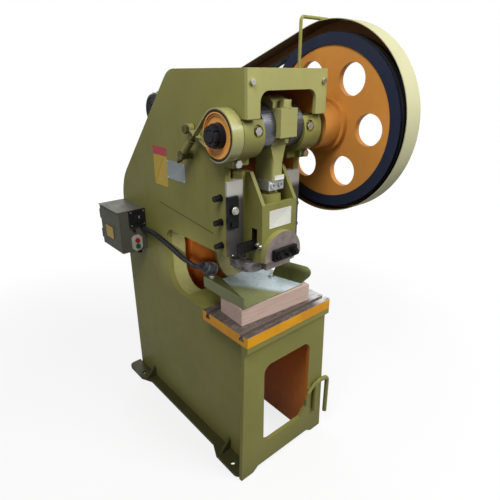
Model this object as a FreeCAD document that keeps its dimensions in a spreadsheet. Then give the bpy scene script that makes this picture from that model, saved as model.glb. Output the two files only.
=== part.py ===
# Open-front crank press of the 16-tonne class, in millimetres.
# X runs left to right as the operator sees it, -Y is the front and Z is up.
# The origin is the centre of the four floor bolts, on the floor.
import FreeCAD, Part
import math
import os
import Sketcher
from FreeCAD import Placement, Rotation, Vector

doc = FreeCAD.newDocument("CrankPress")
sheet = doc.addObject("Spreadsheet::Sheet", "Sizes")

DRIVING = {
    # welded frame
    "wall_half": 178, "wall_thick": 25, "frame_top": 1570, "frame_rear": 492,
    "base_front": -481, "base_plate": 16, "base_in": 1, "base_flare": 19,
    "front_foot": 178, "front_arch": 150, "arch_rise": 20, "arch_round": 18,
    "bed_top": 652, "bed_thick": 40, "ledge_in": 2, "ledge_front": -499, "ledge_bevel": 16,
    "throat_back": 95, "throat_low_round": 95, "throat_high_round": 50, "bed_margin": 20,
    "head_bottom": 940, "cheek_front": -331, "head_front": -449, "bridge_plate": 14, "leg_bottom": 1426,
    "rear_top_round": 95, "rear_knee_round": 240, "rear_knee_height": 1072, "back_inset": 60,
    "liner_width": 91, "liner_thick": 14, "web_thick": 16, "web_front": -214,
    "window_left": 122, "window_right": 138, "window_low": 128, "window_high": 514, "window_round": 38,
    "window_cut": 40, "bridge_leg": 52, "bridge_window_top": 1506, "bridge_round": 34,
    "foot_half": 248, "foot_flange_half": 220, "foot_thick": 15, "foot_length": 150, "foot_blend": 60,
    "foot_past": 26, "foot_round": 30, "bolt_x": 218, "bolt_y": 395, "bolt_hole": 11,
    "foot_rib": 12, "rib_front": -452, "rib_middle": -330, "rib_rear": 330, "rib_high": 60, "rib_back": 14,
    # table
    "table_half": 225, "table_front": -500, "table_back": -230, "table_thick": 43, "table_round": 4,
    "slot_mouth": 16, "slot_under": 26, "slot_foot": 12, "slot_depth": 26, "slot_inset": 33,
    "drop_hole": 60, "drop_step": 10,
    # crank line
    "ram_y": -354, "shaft_z": 1373, "throw": 27.5, "journal": 34, "bush_wall": 6,
    "housing_round": 82, "housing_inner": 92, "housing_low": 1297, "housing_back": -262,
    "cap_flat": 1420, "cap_crest": 40, "ear_drop": 30, "cap_ear_thick": 20,
    "plug_in": 28, "plug_rise": 13, "plug_round": 20, "plug_floor": -424, "plug_hex": 24, "plug_head": 14,
    "lug_wide": 40, "lug_bolt_in": 18, "lug_bolt_up": 14, "lug_hex": 24, "lug_head": 13,
    "bridge_bolt": 9, "bridge_bolt_in": 18, "bridge_bolt_down": 39, "bridge_bolt_head": 8,
    "web_round": 76, "web_offset": 15, "crankpin": 48, "run_gap": 0.06, "fit_gap": 0.3, "spigot": 28,
    # connecting rod
    "rod_half": 38, "rod_eye": 88, "rod_bush_wall": 6, "ear_front": 96, "ear_low": 42,
    "ear_high": 50, "shank_half": 25, "shank_depth": 48.5, "shank_in": 34, "shank_round": 9,
    "flare_low": 112, "flare_high": 62, "rod_bolt_y": 74, "spot_half": 17,
    "rod_nut": 28, "rod_nut_high": 18, "rod_stud": 8, "rod_stud_past": 8, "rod_head_high": 12,
    "screw_round": 21, "screw_up": 54, "clamp_tall": 34, "clamp_slit": 2, "clamp_deep": 42,
    "clamp_wide": 36, "clamp_bolt_x": 18, "clamp_screw": 10, "clamp_head": 6,
    "screw_hex": 44, "ball_round": 32, "ball_up": 34,
    "collar_round": 47.5, "collar_in": 84, "collar_tall": 68, "notch_deep": 16,
    # slide
    "slide_half": 85, "slide_front": 64, "slide_back": 74, "slide_bottom": 915, "wing_rake": 66,
    "slide_under": 133, "wing_rise": 109, "wing": 15, "pocket_wall": 16, "pocket_deep": 160,
    "pocket_round": 8, "tongue_reach": 125, "tongue_root": 103, "tongue_front": -331, "tongue_back": -281,
    "gib_inner": 107, "gib_front": -340, "gib_back": -268, "gib_low": 945, "gib_high": 1215,
    "gib_screw": 8, "gib_screw_low": 34, "gib_screw_step": 88, "gib_nut": 24, "gib_nut_high": 10,
    "gib_head": 20, "gib_screw_out": 30, "bracket_in": 40, "bracket_out": 4, "bracket_thick": 14,
    "bracket_low": 1050, "bracket_tall": 115, "bracket_step": 9, "bracket_foot": 6, "bracket_bolt": 12.5,
    "bracket_head": 8, "bracket_bolt_up": 68,
    "shank_hole": 20, "shank_hole_deep": 60, "clamp_half": 62, "clamp_round": 90, "clamp_flange": 24,
    "clamp_rise": 23, "clamp_skirt": 14, "clamp_recess": 955, "clamp_bar": 16, "clamp_bar_half": 56,
    "clamp_bar_up": 2,
    "clamp_bar_tall": 42, "clamp_stud_x": 38, "clamp_stud": 8, "clamp_nut": 26, "clamp_nut_high": 13,
    "clamp_stud_past": 8, "clamp_set": 20,
    "knock_slot_low": 962, "knock_slot_high": 1040, "knock_slot_half": 14, "knock_y": -377,
    "knock_wide": 20, "knock_tall": 34, "knock_left": 160, "knock_right": 92,
    "foot_plate": 34, "foot_plate_half": 132, "foot_front": 46, "foot_back": 62, "foot_corner": 44,
    # brake
    "drum_round": 72, "drum_left": -226, "drum_wide": 44, "drum_rim": 4, "drum_dish": 5, "drum_step": 4,
    "drum_shift": 5, "drum_moon": 60, "drum_seat": 41, "hub_recess": 14, "hub_nut": 39, "hub_nut_out": 10,
    "lining": 8, "band": 4.5, "strap_gap": 1, "strap_share": 0.48,
    "anchor_y": -152, "anchor_z": 1375, "anchor_pin": 9, "anchor_eye": 18, "anchor_head": 12, "anchor_hex": 28,
    "spring_block_y": -133, "spring_block_z": 1283, "trunnion": 16, "spring_mean": 11, "spring_wire": 4,
    "spring_turns": 9, "spring_pitch": 7, "draw_rod": 6, "draw_rod_past": 26, "draw_collar": 6,
    # flywheel and drive
    "wheel_left": 300, "wheel_wide": 65, "wheel_round": 318, "rim_inner": 278, "wheel_web": 24,
    "web_recess": 6, "hub_round": 84, "hub_flange": 98, "hub_flange_wide": 22, "hub_left": 202,
    "hub_right": 376, "hole_round": 57, "hole_circle": 191, "hole_turn": 2, "hole_count": 6,
    "belt_wide": 17, "belt_deep": 11, "belt_pitch": 24, "belt_proud": 3, "belt_side": 2.6,
    "groove_floor": 10, "groove_deep": 14, "clutch_round": 66, "clutch_slot": 16,
    "motor_y": 230, "motor_rise": 76, "motor_round": 76, "motor_left": -96, "motor_right": 250,
    "motor_cowl": 12, "motor_bell": 26, "motor_nose": 36, "motor_fan": 60, "fin_high": 9, "fin_thick": 4,
    "fin_count": 20, "motor_notch": 6, "motor_mid": 70, "motor_plate_half": 78, "motor_plate_run": 95,
    "motor_plate_thick": 14,
    "motor_foot_x": 50, "motor_foot_run": 58, "motor_foot_half": 18, "saddle_bite": 30,
    "pulley_round": 60, "pulley_edge": 3, "pulley_hub": 32, "motor_shaft": 14,
    "guard_round": 350, "guard_small": 131, "guard_left": 292, "guard_wide": 82, "guard_sheet": 2.5,
    "guard_shift": 4, "guard_rise": 12, "support_rod": 6, "post_off": 18, "post_y": -300, "post_foot": 1516,
    "post_clip": 10, "post_clip_tall": 36, "post_reach": 40, "post_bend": 14,
    "rear_stay_y": 180, "stay_under": 178, "stay_past": 60, "stay_wide": 30, "stay_thick": 6,
    # control box
    "box_left": -299, "box_front": 285, "box_back": 490, "box_low": 787, "box_high": 985,
    "box_sheet": 2, "box_lip": 6, "door_gap": 0.5, "door_thick": 4, "hinge_round": 4, "hinge_in": 26,
    "hinge_tall": 22, "switch_side": 80, "switch_thick": 8, "knob_round": 18, "knob_grip": 5,
    "knob_tall": 18, "pilot_in": 60, "pilot_down": 16, "pilot_round": 6, "pilot_out": 10,
    "button_in": 69, "button_up": 40, "button_plate": 9, "button_half": 25, "button_tall": 37,
    "button_nip": 12, "button_step": 14, "button_round": 11, "button_out": 5, "button_play": 4,
    "gland_round": 11, "gland_long": 20, "gland_x": -210, "gland_in": 22,
    # work lamp
    "lamp_off": 17, "lamp_root_z": 892, "arm_round": 11, "arm_rib_deep": 1.6, "arm_bore": 5, "arm_ribs": 40,
    "lamp_in": 8, "lamp_tip_y": -147, "lamp_tip_z": 838, "lamp_aim_y": -199, "lamp_aim_z": 861,
    "lamp_collar": 17, "lamp_neck": 26,
    "lamp_long": 78, "lamp_mouth": 26, "lamp_sheet": 2,
    # small pieces at the front
    "fork_bar": 10, "fork_in": 40, "fork_wide": 78, "fork_left_low": 131, "fork_right_low": 80,
    "fork_top": 290, "fork_bend": 24, "fork_brace_in": 6, "fork_brace_down": 42, "fork_stub_in": 12,
    "fork_stub_up": 12, "fork_fall": 14, "fork_brace_drop": 4,
    "wood_long": 337, "wood_deep": 138, "wood_high": 70, "wood_x": -186, "wood_y": -423,
    "tray_left": -182, "tray_right": 130, "tray_front": -428, "tray_back": -183, "tray_sheet": 3,
    "tray_wall": 46, "tray_lip": 45, "tray_lip_run": 60,
    "guide_rear_x": 91, "guide_rear_y": -290, "guide_front_x": 126, "guide_front_y": -423,
    "guide_high": 76, "guide_nose_past": 34, "guide_nose_up": 56, "guide_nose_round": 26,
}


class Size:
    """A length with the formula that ties it to the sheet."""

    def __init__(self, value, formula):
        self.value = value
        self.formula = formula

    def __add__(self, other):
        other = size(other)
        return Size(self.value + other.value, "(%s + %s)" % (self.formula, other.formula))

    def __sub__(self, other):
        other = size(other)
        return Size(self.value - other.value, "(%s - %s)" % (self.formula, other.formula))

    def __mul__(self, other):
        other = size(other)
        return Size(self.value * other.value, "(%s * %s)" % (self.formula, other.formula))

    def __truediv__(self, other):
        other = size(other)
        return Size(self.value / other.value, "(%s / %s)" % (self.formula, other.formula))

    def __neg__(self):
        return Size(-self.value, "(0 - %s)" % self.formula)

    def __radd__(self, other):
        return size(other) + self

    def __rsub__(self, other):
        return size(other) - self

    def __rmul__(self, other):
        return size(other) * self

    def root(self):
        return Size(math.sqrt(self.value), "sqrt(%s)" % self.formula)


def size(number):
    """A plain number as a Size; a Size stays as it is."""
    if isinstance(number, Size):
        return number
    return Size(float(number), "%.9g" % number if number >= 0 else "(0 - %.9g)" % -number)


class Named:
    """Holds each driving size under its own name."""


d = Named()
for row, (alias, number) in enumerate(DRIVING.items(), 1):
    sheet.set("A%d" % row, alias)
    sheet.set("B%d" % row, str(number))
    sheet.setAlias("B%d" % row, alias)
    setattr(d, alias, Size(float(number), "Sizes." + alias))
doc.recompute()
derived = {}


def derive(name, length):
    """Keeps a worked-out length in the sheet under its own name."""
    if name not in derived:
        cell = "D%d" % (len(derived) + 1)
        sheet.set(cell, "=" + length.formula.replace("Sizes.", ""))
        sheet.setAlias(cell, name)
        derived[name] = Size(length.value, "Sizes." + name)
    return derived[name]


d.ledge_half = derive("ledge_half", d.table_half - d.ledge_in)
d.base_half_top = derive("base_half_top", d.ledge_half - d.base_in)
d.base_half_floor = derive("base_half_floor", d.base_half_top + d.base_flare)
d.slide_top = derive("slide_top", d.shaft_z - d.slide_under)
d.slide_face_top = derive("slide_face_top", d.slide_top - d.wing_rise)
d.pocket_floor = derive("pocket_floor", d.slide_top - d.pocket_deep)
d.shank_bottom = derive("shank_bottom", d.slide_top - d.shank_in)
d.collar_top = derive("collar_top", d.slide_top - d.collar_in)
d.collar_low = derive("collar_low", d.collar_top - d.collar_tall)
d.motor_z = derive("motor_z", d.frame_rear + d.rear_knee_height + d.motor_rise - d.motor_y)
d.rear_stay_z = derive("rear_stay_z", d.motor_z - d.stay_under)
d.fork_left = derive("fork_left", d.base_half_top - d.fork_in)
d.fork_right = derive("fork_right", d.fork_left + d.fork_wide)

TURN = {"x": Rotation(Vector(0, 1, 0), 90), "y": Rotation(Vector(1, 0, 0), -90), "z": Rotation()}
OTHERS = {"x": "yz", "y": "xz", "z": "xy"}
pieces = []


def keep(item, label):
    """Names a finished sub-part, which gets a file of its own."""
    item.Label = label
    pieces.append(item)
    return item


def bind(item, prop, length):
    item.setExpression(prop, size(length).formula)


def seat(item, place):
    """Ties an object's place to sizes."""
    for axis, length in zip("xyz", place):
        bind(item, "Placement.Base." + axis, length)


def box(name, x, y, z):
    """A block between two limits along each axis."""
    item = doc.addObject("Part::Box", name)
    for prop, (low, high) in zip(("Length", "Width", "Height"), (x, y, z)):
        bind(item, prop, size(high) - low)
    seat(item, (x[0], y[0], z[0]))
    return item


def rod(name, axis, radius, span, centre):
    """A cylinder along an axis, from span[0] to span[1]."""
    item = doc.addObject("Part::Cylinder", name)
    item.Placement = Placement(Vector(), TURN[axis])
    bind(item, "Radius", radius)
    bind(item, "Height", size(span[1]) - span[0])
    place = dict(zip(OTHERS[axis], centre))
    place[axis] = span[0]
    seat(item, [place[letter] for letter in "xyz"])
    return item


def hexagon(name, axis, across, span, centre):
    """A hexagonal head or nut, by its width across flats."""
    item = doc.addObject("Part::Prism", name)
    item.Polygon = 6
    item.Placement = Placement(Vector(), TURN[axis])
    bind(item, "Circumradius", size(across) / math.sqrt(3))
    bind(item, "Height", size(span[1]) - span[0])
    place = dict(zip(OTHERS[axis], centre))
    place[axis] = span[0]
    seat(item, [place[letter] for letter in "xyz"])
    return item


def fuse(name, *items):
    item = doc.addObject("Part::MultiFuse", name)
    item.Shapes = list(items)
    return item


def group(name, *items):
    """Separate like pieces that share one file."""
    item = doc.addObject("Part::Compound", name)
    item.Links = list(items)
    return item


def cut(name, base, *tools):
    item = doc.addObject("Part::Cut", name)
    item.Base = base
    item.Tool = tools[0] if len(tools) == 1 else fuse(name + "_tools", *tools)
    return item


def common(name, first, second):
    item = doc.addObject("Part::MultiCommon", name)
    item.Shapes = [first, second]
    return item


PLANES = {"xy": "XY_Plane", "xz": "XZ_Plane", "yz": "YZ_Plane"}


def sketch(body, name, plane, offset, loops):
    """Draws closed loops on a plane: (centre, radius) circles or lists of corners.

    offset is the plane's own place (x, y, z); corners are measured from it.
    """
    item = body.newObject("Sketcher::SketchObject", name)
    role = PLANES[plane]
    base = [entry for entry in body.Origin.OriginFeatures if entry.Role == role][0]
    item.AttachmentSupport = (base, "")
    item.MapMode = "FlatFace"
    x, y, z = offset
    local = {"xy": (x, y, z), "xz": (x, z, -size(y)), "yz": (y, z, x)}[plane]
    for axis, length in zip("xyz", local):
        bind(item, "AttachmentOffset.Base." + axis, length)
    for loop in loops:
        if isinstance(loop, tuple):
            add_circle(item, *loop)
        else:
            add_polygon(item, loop)
    return item


def dimension(item, kind, where, length):
    """One driving dimension of a sketch, tied to its formula."""
    length = size(length)
    index = item.addConstraint(Sketcher.Constraint(kind, *where, length.value))
    item.setExpression("Constraints[%d]" % index, length.formula)


def add_circle(item, centre, radius):
    u, v = size(centre[0]), size(centre[1])
    radius = size(radius)
    index = item.addGeometry(Part.Circle(Vector(u.value, v.value, 0), Vector(0, 0, 1), radius.value))
    dimension(item, "Radius", (index,), radius)
    dimension(item, "DistanceX", (index, 3), u)
    dimension(item, "DistanceY", (index, 3), v)


def add_polygon(item, corners):
    points = [Vector(size(u).value, size(v).value, 0) for u, v in corners]
    lines = [Part.LineSegment(a, b) for a, b in zip(points, points[1:] + points[:1])]
    indices = [item.addGeometry(line) for line in lines]
    for first, second in zip(indices, indices[1:] + indices[:1]):
        item.addConstraint(Sketcher.Constraint("Coincident", first, 2, second, 1))
    for index, (u, v) in zip(indices, corners):
        dimension(item, "DistanceX", (index, 1), u)
        dimension(item, "DistanceY", (index, 1), v)


def body_of(label):
    return keep(doc.addObject("PartDesign::Body", label + "_body"), label)


def pad(body, name, plane, start, loops, length, at=(0, 0, 0)):
    """Extrudes loops from the plane's place, towards +X, -Y or +Z."""
    profile = sketch(body, name + "_sketch", plane, start, loops)
    item = body.newObject("PartDesign::Pad", name)
    item.Profile = profile
    bind(item, "Length", length)
    doc.recompute()
    return item


def pocket(body, name, plane, start, loops, length):
    """Cuts loops from the plane's place, towards -X, +Y or -Z."""
    profile = sketch(body, name + "_sketch", plane, start, loops)
    before = body.Shape.Volume
    item = body.newObject("PartDesign::Pocket", name)
    item.Profile = profile
    bind(item, "Length", length)
    doc.recompute()
    if body.Shape.Volume > before - 1:
        raise ValueError("pocket %s cuts nothing" % name)
    return item


def turned(label, centre, profile, axis="x"):
    """A body turned about a line along an axis; profile holds (along, radius)."""
    body = body_of(label)
    plane = {"x": "xz", "y": "yz", "z": "xz"}[axis]
    if axis == "x":
        offset = (0, centre[0], centre[1])
    elif axis == "y":
        offset = (centre[0], 0, centre[1])
    else:
        offset = (centre[0], centre[1], 0)
        profile = [(radius, along) for along, radius in profile]
    outline = sketch(body, label + "_outline", plane, offset, [profile])
    item = body.newObject("PartDesign::Revolution", label + "_turn")
    item.Profile = outline
    item.ReferenceAxis = (outline, ["V_Axis" if axis == "z" else "H_Axis"])
    item.Angle = 360
    doc.recompute()
    return body


def round_edges(body, name, radius, test):
    """Rounds each edge of the body that the test picks."""
    feature = body.Tip
    shape = feature.Shape
    names = ["Edge%d" % (i + 1) for i, edge in enumerate(shape.Edges) if test(edge)]
    if not names:
        raise ValueError("no edge for %s" % name)
    item = body.newObject("PartDesign::Fillet", name)
    item.Base = (feature, names)
    bind(item, "Radius", radius)
    doc.recompute()
    return item


def near(value, length, slack=0.05):
    return abs(value - size(length).value) < slack


def upright_at(axis, places):
    """Picks straight edges along an axis that stand at one of the places."""
    first, second = OTHERS[axis]

    def test(edge):
        a, b = edge.Vertexes[0].Point, edge.Vertexes[-1].Point
        middle = (a + b) * 0.5
        along = abs(getattr(b - a, axis)) > 0.98 * edge.Length > 0
        return along and any(near(getattr(middle, first), u) and near(getattr(middle, second), v)
                             for u, v in places)
    return test


def prism(name, plane, start, loops, length):
    """An extruded outline that another piece is cut or built with."""
    helper = doc.addObject("PartDesign::Body", name)
    pad(helper, name + "_pad", plane, start, loops, length)
    return helper


def span(side, inner, outer):
    """The X limits of a piece that stands on the left (-1) or right (1) side."""
    return (size(inner), size(outer)) if side > 0 else (-size(outer), -size(inner))


SIDES = (("left", -1), ("right", 1))

# ---------------------------------------------------------------- frame
wall_inner = d.wall_half - d.wall_thick
wall_front = d.base_front + d.base_plate
leg_front = d.head_front + d.bridge_plate
slope_sum = d.frame_rear + d.rear_knee_height
slope_top = slope_sum - d.frame_top
root_two = math.sqrt(2)
gib_screw_y = (d.tongue_front + d.tongue_back) / 2
gib_screw_z = [d.gib_low + d.gib_screw_low + d.gib_screw_step * i for i in range(3)]

for word, side in SIDES:
    x = span(side, wall_inner, d.wall_half)
    plate = body_of(word + "_side_plate")
    pad(plate, word + "_wall", "yz", (x[0], 0, 0), [[
        (wall_front, 0), (wall_front, d.bed_top), (d.throat_back, d.bed_top),
        (d.throat_back, d.head_bottom), (d.cheek_front, d.head_bottom),
        (d.cheek_front, d.housing_low), (d.housing_back, d.housing_low),
        (d.housing_back, d.leg_bottom), (leg_front, d.leg_bottom), (leg_front, d.frame_top),
        (slope_top, d.frame_top), (d.frame_rear, d.rear_knee_height), (d.frame_rear, 0)]],
        d.wall_thick)
    round_edges(plate, word + "_throat_low", d.throat_low_round,
                upright_at("x", [(d.throat_back, d.bed_top)]))
    round_edges(plate, word + "_throat_high", d.throat_high_round,
                upright_at("x", [(d.throat_back, d.head_bottom)]))
    round_edges(plate, word + "_rear_top", d.rear_top_round, upright_at("x", [(slope_top, d.frame_top)]))
    round_edges(plate, word + "_rear_knee", d.rear_knee_round,
                upright_at("x", [(d.frame_rear, d.rear_knee_height)]))
    pocket(plate, word + "_gib_holes", "yz", (x[1], 0, 0),
           [((gib_screw_y, z), d.gib_screw + d.fit_gap) for z in gib_screw_z], d.wall_thick)
    if side > 0:
        pocket(plate, "motor_notch", "yz", (x[1], 0, 0), [
            ((d.motor_y, d.motor_z), d.motor_round + d.fin_high + d.motor_notch)], d.wall_thick)


def inset_outline(depth):
    """Corners of the back's section line, a depth inside the walls' rear edges."""
    inward = d.back_inset + depth
    return [(slope_sum - inward * root_two - d.frame_top + depth, d.frame_top - depth),
            (d.frame_rear - inward, d.rear_knee_height - inward * (root_two - 1)),
            (d.frame_rear - inward, size(0))]


back = body_of("frame_back_plate")
outer_line, inner_line = inset_outline(size(0)), inset_outline(d.web_thick)
pad(back, "back_section", "yz", (-wall_inner, 0, 0), [
    [(leg_front, d.frame_top)] + outer_line + inner_line[::-1] + [(leg_front, d.frame_top - d.web_thick)]],
    wall_inner * 2)
round_edges(back, "back_top_outside", d.rear_top_round - d.back_inset, upright_at("x", [outer_line[0]]))
round_edges(back, "back_top_inside", d.rear_top_round - d.back_inset - d.web_thick,
            upright_at("x", [inner_line[0]]))
round_edges(back, "back_knee_outside", d.rear_knee_round - d.back_inset, upright_at("x", [outer_line[1]]))
round_edges(back, "back_knee_inside", d.rear_knee_round - d.back_inset - d.web_thick,
            upright_at("x", [inner_line[1]]))

head_web = box("head_web_plate", (-wall_inner, wall_inner), (d.web_front, d.web_front + d.web_thick),
               (d.head_bottom + d.liner_thick, d.frame_top - d.web_thick))
keep(head_web, "head_web")

front_plate = body_of("base_front_plate")
ledge_low = d.bed_top - d.bed_thick
pad(front_plate, "front_sheet", "xz", (0, wall_front, 0), [
    [(-d.base_half_floor, 0), (-d.front_foot, 0), (-d.front_arch, d.arch_rise), (d.front_arch, d.arch_rise),
     (d.front_foot, 0), (d.base_half_floor, 0), (d.base_half_top, ledge_low),
     (-d.base_half_top, ledge_low)]], d.base_plate)
pocket(front_plate, "front_window", "xz", (0, d.base_front, 0), [
    [(-d.window_left, d.window_low), (d.window_right - d.window_cut, d.window_low),
     (d.window_right, d.window_low + d.window_cut), (d.window_right, d.window_high),
     (-d.window_left, d.window_high)]], d.base_plate)
round_edges(front_plate, "front_window_rounds", d.window_round, upright_at("y", [
    (-d.window_left, d.window_low), (d.window_right, d.window_high), (-d.window_left, d.window_high)]))
round_edges(front_plate, "front_arch_rounds", d.arch_round, upright_at("y", [
    (-d.front_arch, d.arch_rise), (d.front_arch, d.arch_rise), (-d.front_foot, 0), (d.front_foot, 0)]))

bed_back = d.throat_back - d.throat_low_round - d.bed_margin
bed = body_of("bed_plate")
pad(bed, "bed_slab", "xy", (0, 0, ledge_low), [
    [(-d.ledge_half, d.ledge_front), (d.ledge_half, d.ledge_front), (d.ledge_half, wall_front),
     (wall_inner, wall_front), (wall_inner, bed_back), (-wall_inner, bed_back),
     (-wall_inner, wall_front), (-d.ledge_half, wall_front)],
    ((size(0), d.ram_y), d.drop_hole + d.drop_step)], d.bed_thick)
feature = bed.Tip
lower = ["Edge%d" % (i + 1) for i, edge in enumerate(feature.Shape.Edges)
         if near(edge.BoundBox.ZMin, ledge_low) and near(edge.BoundBox.ZMax, ledge_low)
         and near(edge.BoundBox.YMin, d.ledge_front) and near(edge.BoundBox.YMax, d.ledge_front)]
bevel = bed.newObject("PartDesign::Chamfer", "ledge_bevel")
bevel.Base = (feature, lower)
bind(bevel, "Size", d.ledge_bevel)
doc.recompute()

liners = []
for word, side in SIDES:
    x = span(side, d.wall_half - d.liner_width, wall_inner)
    liner = doc.addObject("PartDesign::Body", word + "_liner")
    outside = [(bed_back, d.bed_top), (d.throat_back, d.bed_top), (d.throat_back, d.head_bottom),
               (d.gib_back, d.head_bottom)]
    inside = [(d.gib_back, d.head_bottom + d.liner_thick),
              (d.throat_back + d.liner_thick, d.head_bottom + d.liner_thick),
              (d.throat_back + d.liner_thick, d.bed_top - d.liner_thick),
              (bed_back, d.bed_top - d.liner_thick)]
    pad(liner, word + "_liner_strip", "yz", (x[0], 0, 0), [outside + inside], x[1] - x[0])
    for name, radius, corner in (
            ("low_throat", d.throat_low_round, outside[1]), ("high_throat", d.throat_high_round, outside[2]),
            ("high_metal", d.throat_high_round + d.liner_thick, inside[1]),
            ("low_metal", d.throat_low_round + d.liner_thick, inside[2])):
        round_edges(liner, "%s_%s" % (word, name), radius, upright_at("x", [corner]))
    liners.append(liner)
keep(group("liner_pair", *liners), "throat_liners")

flanges = []
for word, side in SIDES:
    flange = doc.addObject("PartDesign::Body", word + "_flange")
    front, rear = wall_front, d.frame_rear + d.foot_past
    corners = [(d.wall_half, front), (d.foot_half, front), (d.foot_half, front + d.foot_length),
               (d.foot_flange_half, front + d.foot_length + d.foot_blend),
               (d.foot_flange_half, rear - d.foot_length - d.foot_blend),
               (d.foot_half, rear - d.foot_length), (d.foot_half, rear), (d.wall_half, rear)]
    corners = [(x * side, y) for x, y in corners]
    holes = [((d.bolt_x * side, y * d.bolt_y), d.bolt_hole) for y in (-1, 1)]
    pad(flange, word + "_flange_sheet", "xy", (0, 0, 0), [corners if side > 0 else corners[::-1]] + holes,
        d.foot_thick)
    round_edges(flange, word + "_flange_rounds", d.foot_round, upright_at("z", [corners[1], corners[6]]))
    for name, y in (("front", d.rib_front), ("middle", d.rib_middle), ("rear", d.rib_rear)):
        pad(flange, "%s_%s_rib" % (word, name), "xz", (0, y + d.foot_rib, 0), [
            [(d.wall_half * side, d.foot_thick), ((d.foot_half - d.rib_back) * side, d.foot_thick),
             (d.wall_half * side, d.foot_thick + d.rib_high)]], d.foot_rib)
    flanges.append(flange)
keep(group("flange_pair", *flanges), "foot_flanges")

bridge = body_of("bridge_plate")
bridge_inner = d.wall_half - d.bridge_leg
pad(bridge, "bridge_sheet", "xz", (0, leg_front, 0), [
    [(-d.wall_half, d.leg_bottom), (-bridge_inner, d.leg_bottom), (-bridge_inner, d.bridge_window_top),
     (bridge_inner, d.bridge_window_top), (bridge_inner, d.leg_bottom), (d.wall_half, d.leg_bottom),
     (d.wall_half, d.frame_top), (-d.wall_half, d.frame_top)]], d.bridge_plate)
round_edges(bridge, "bridge_rounds", d.bridge_round, upright_at("y", [
    (-bridge_inner, d.bridge_window_top), (bridge_inner, d.bridge_window_top)]))

# ---------------------------------------------------------------- table
table = body_of("table")
pad(table, "table_slab", "xy", (0, 0, d.bed_top), [
    [(-d.table_half, d.table_front), (d.table_half, d.table_front), (d.table_half, d.table_back),
     (-d.table_half, d.table_back)], ((size(0), d.ram_y), d.drop_hole)], d.table_thick)
table_top = d.bed_top + d.table_thick
for name, y in (("front", d.table_front + d.slot_inset), ("rear", d.table_back - d.slot_inset)):
    low = table_top - d.slot_depth
    pocket(table, name + "_slot", "yz", (d.table_half, 0, 0), [
        [(y - d.slot_under / 2, low), (y + d.slot_under / 2, low), (y + d.slot_under / 2, low + d.slot_foot),
         (y + d.slot_mouth / 2, low + d.slot_foot), (y + d.slot_mouth / 2, table_top + 1),
         (y - d.slot_mouth / 2, table_top + 1), (y - d.slot_mouth / 2, low + d.slot_foot),
         (y - d.slot_under / 2, low + d.slot_foot)]], d.table_half * 2)
round_edges(table, "table_corners", d.table_round, upright_at("z", [
    (-d.table_half, d.table_front), (d.table_half, d.table_front)]))

# ---------------------------------------------------------------- crank line
pin_z = d.shaft_z + d.throw
housing = d.journal + d.run_gap + d.bush_wall
bolts = []
bushes = []
for word, side in SIDES:
    x = span(side, d.housing_inner, d.wall_half)
    lip_low = d.housing_low - d.ear_drop
    block = cut(word + "_block_cut", fuse(
        word + "_block_raw",
        box(word + "_block_body", x, (d.ram_y, d.housing_back), (d.housing_low, d.leg_bottom)),
        box(word + "_block_lip", x, (d.ram_y, d.cheek_front), (lip_low, d.housing_low))),
        rod(word + "_block_bore", "x", housing, x, (d.ram_y, d.shaft_z)))
    keep(block, word + "_bearing_block")
    barrel = common(word + "_barrel", rod(word + "_barrel_round", "x", d.housing_round, x, (d.ram_y, d.shaft_z)),
                    box(word + "_barrel_half", x, (d.ram_y - d.housing_round, d.ram_y),
                        (d.shaft_z - d.housing_round, d.cap_flat)))
    solid = fuse(word + "_cap_raw", barrel,
                 box(word + "_cap_lug", span(side, d.wall_half - d.lug_wide, d.wall_half),
                     (d.ram_y - d.cap_ear_thick, d.ram_y), (lip_low, d.shaft_z)),
                 box(word + "_cap_crest", x, (d.ram_y - d.cap_crest, d.ram_y),
                     (d.shaft_z, d.leg_bottom - d.fit_gap)))
    plug_x = d.housing_inner + d.plug_in
    plug = (plug_x * side, d.shaft_z + d.plug_rise)
    cap = cut(word + "_cap_cut", solid, rod(word + "_cap_bore", "x", housing, x, (d.ram_y, d.shaft_z)),
              rod(word + "_plug_seat", "y", d.plug_round, (d.ram_y - d.housing_round - 1, d.plug_floor), plug))
    keep(cap, word + "_bearing_cap")
    bushes.append(cut(word + "_bush_ring", rod(word + "_bush_out", "x", housing, x, (d.ram_y, d.shaft_z)),
                      rod(word + "_bush_in", "x", d.journal + d.run_gap, x, (d.ram_y, d.shaft_z))))
    bolts.append(hexagon(word + "_plug", "y", d.plug_hex, (d.plug_floor - d.plug_head, d.plug_floor), plug))
    lug_bolt = ((d.wall_half - d.lug_bolt_in) * side, lip_low + d.lug_bolt_up)
    bolts.append(hexagon(word + "_lug_bolt", "y", d.lug_hex,
                         (d.ram_y - d.cap_ear_thick - d.lug_head, d.ram_y - d.cap_ear_thick), lug_bolt))
    bridge_bolt = ((d.wall_half - d.bridge_bolt_in) * side, d.frame_top - d.bridge_bolt_down)
    bolts.append(rod(word + "_bridge_bolt", "y", d.bridge_bolt,
                     (d.head_front - d.bridge_bolt_head, d.head_front), bridge_bolt))
keep(group("bush_pair", *bushes), "main_bushes")
keep(group("bolt_set", *bolts), "head_bolts")

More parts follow.
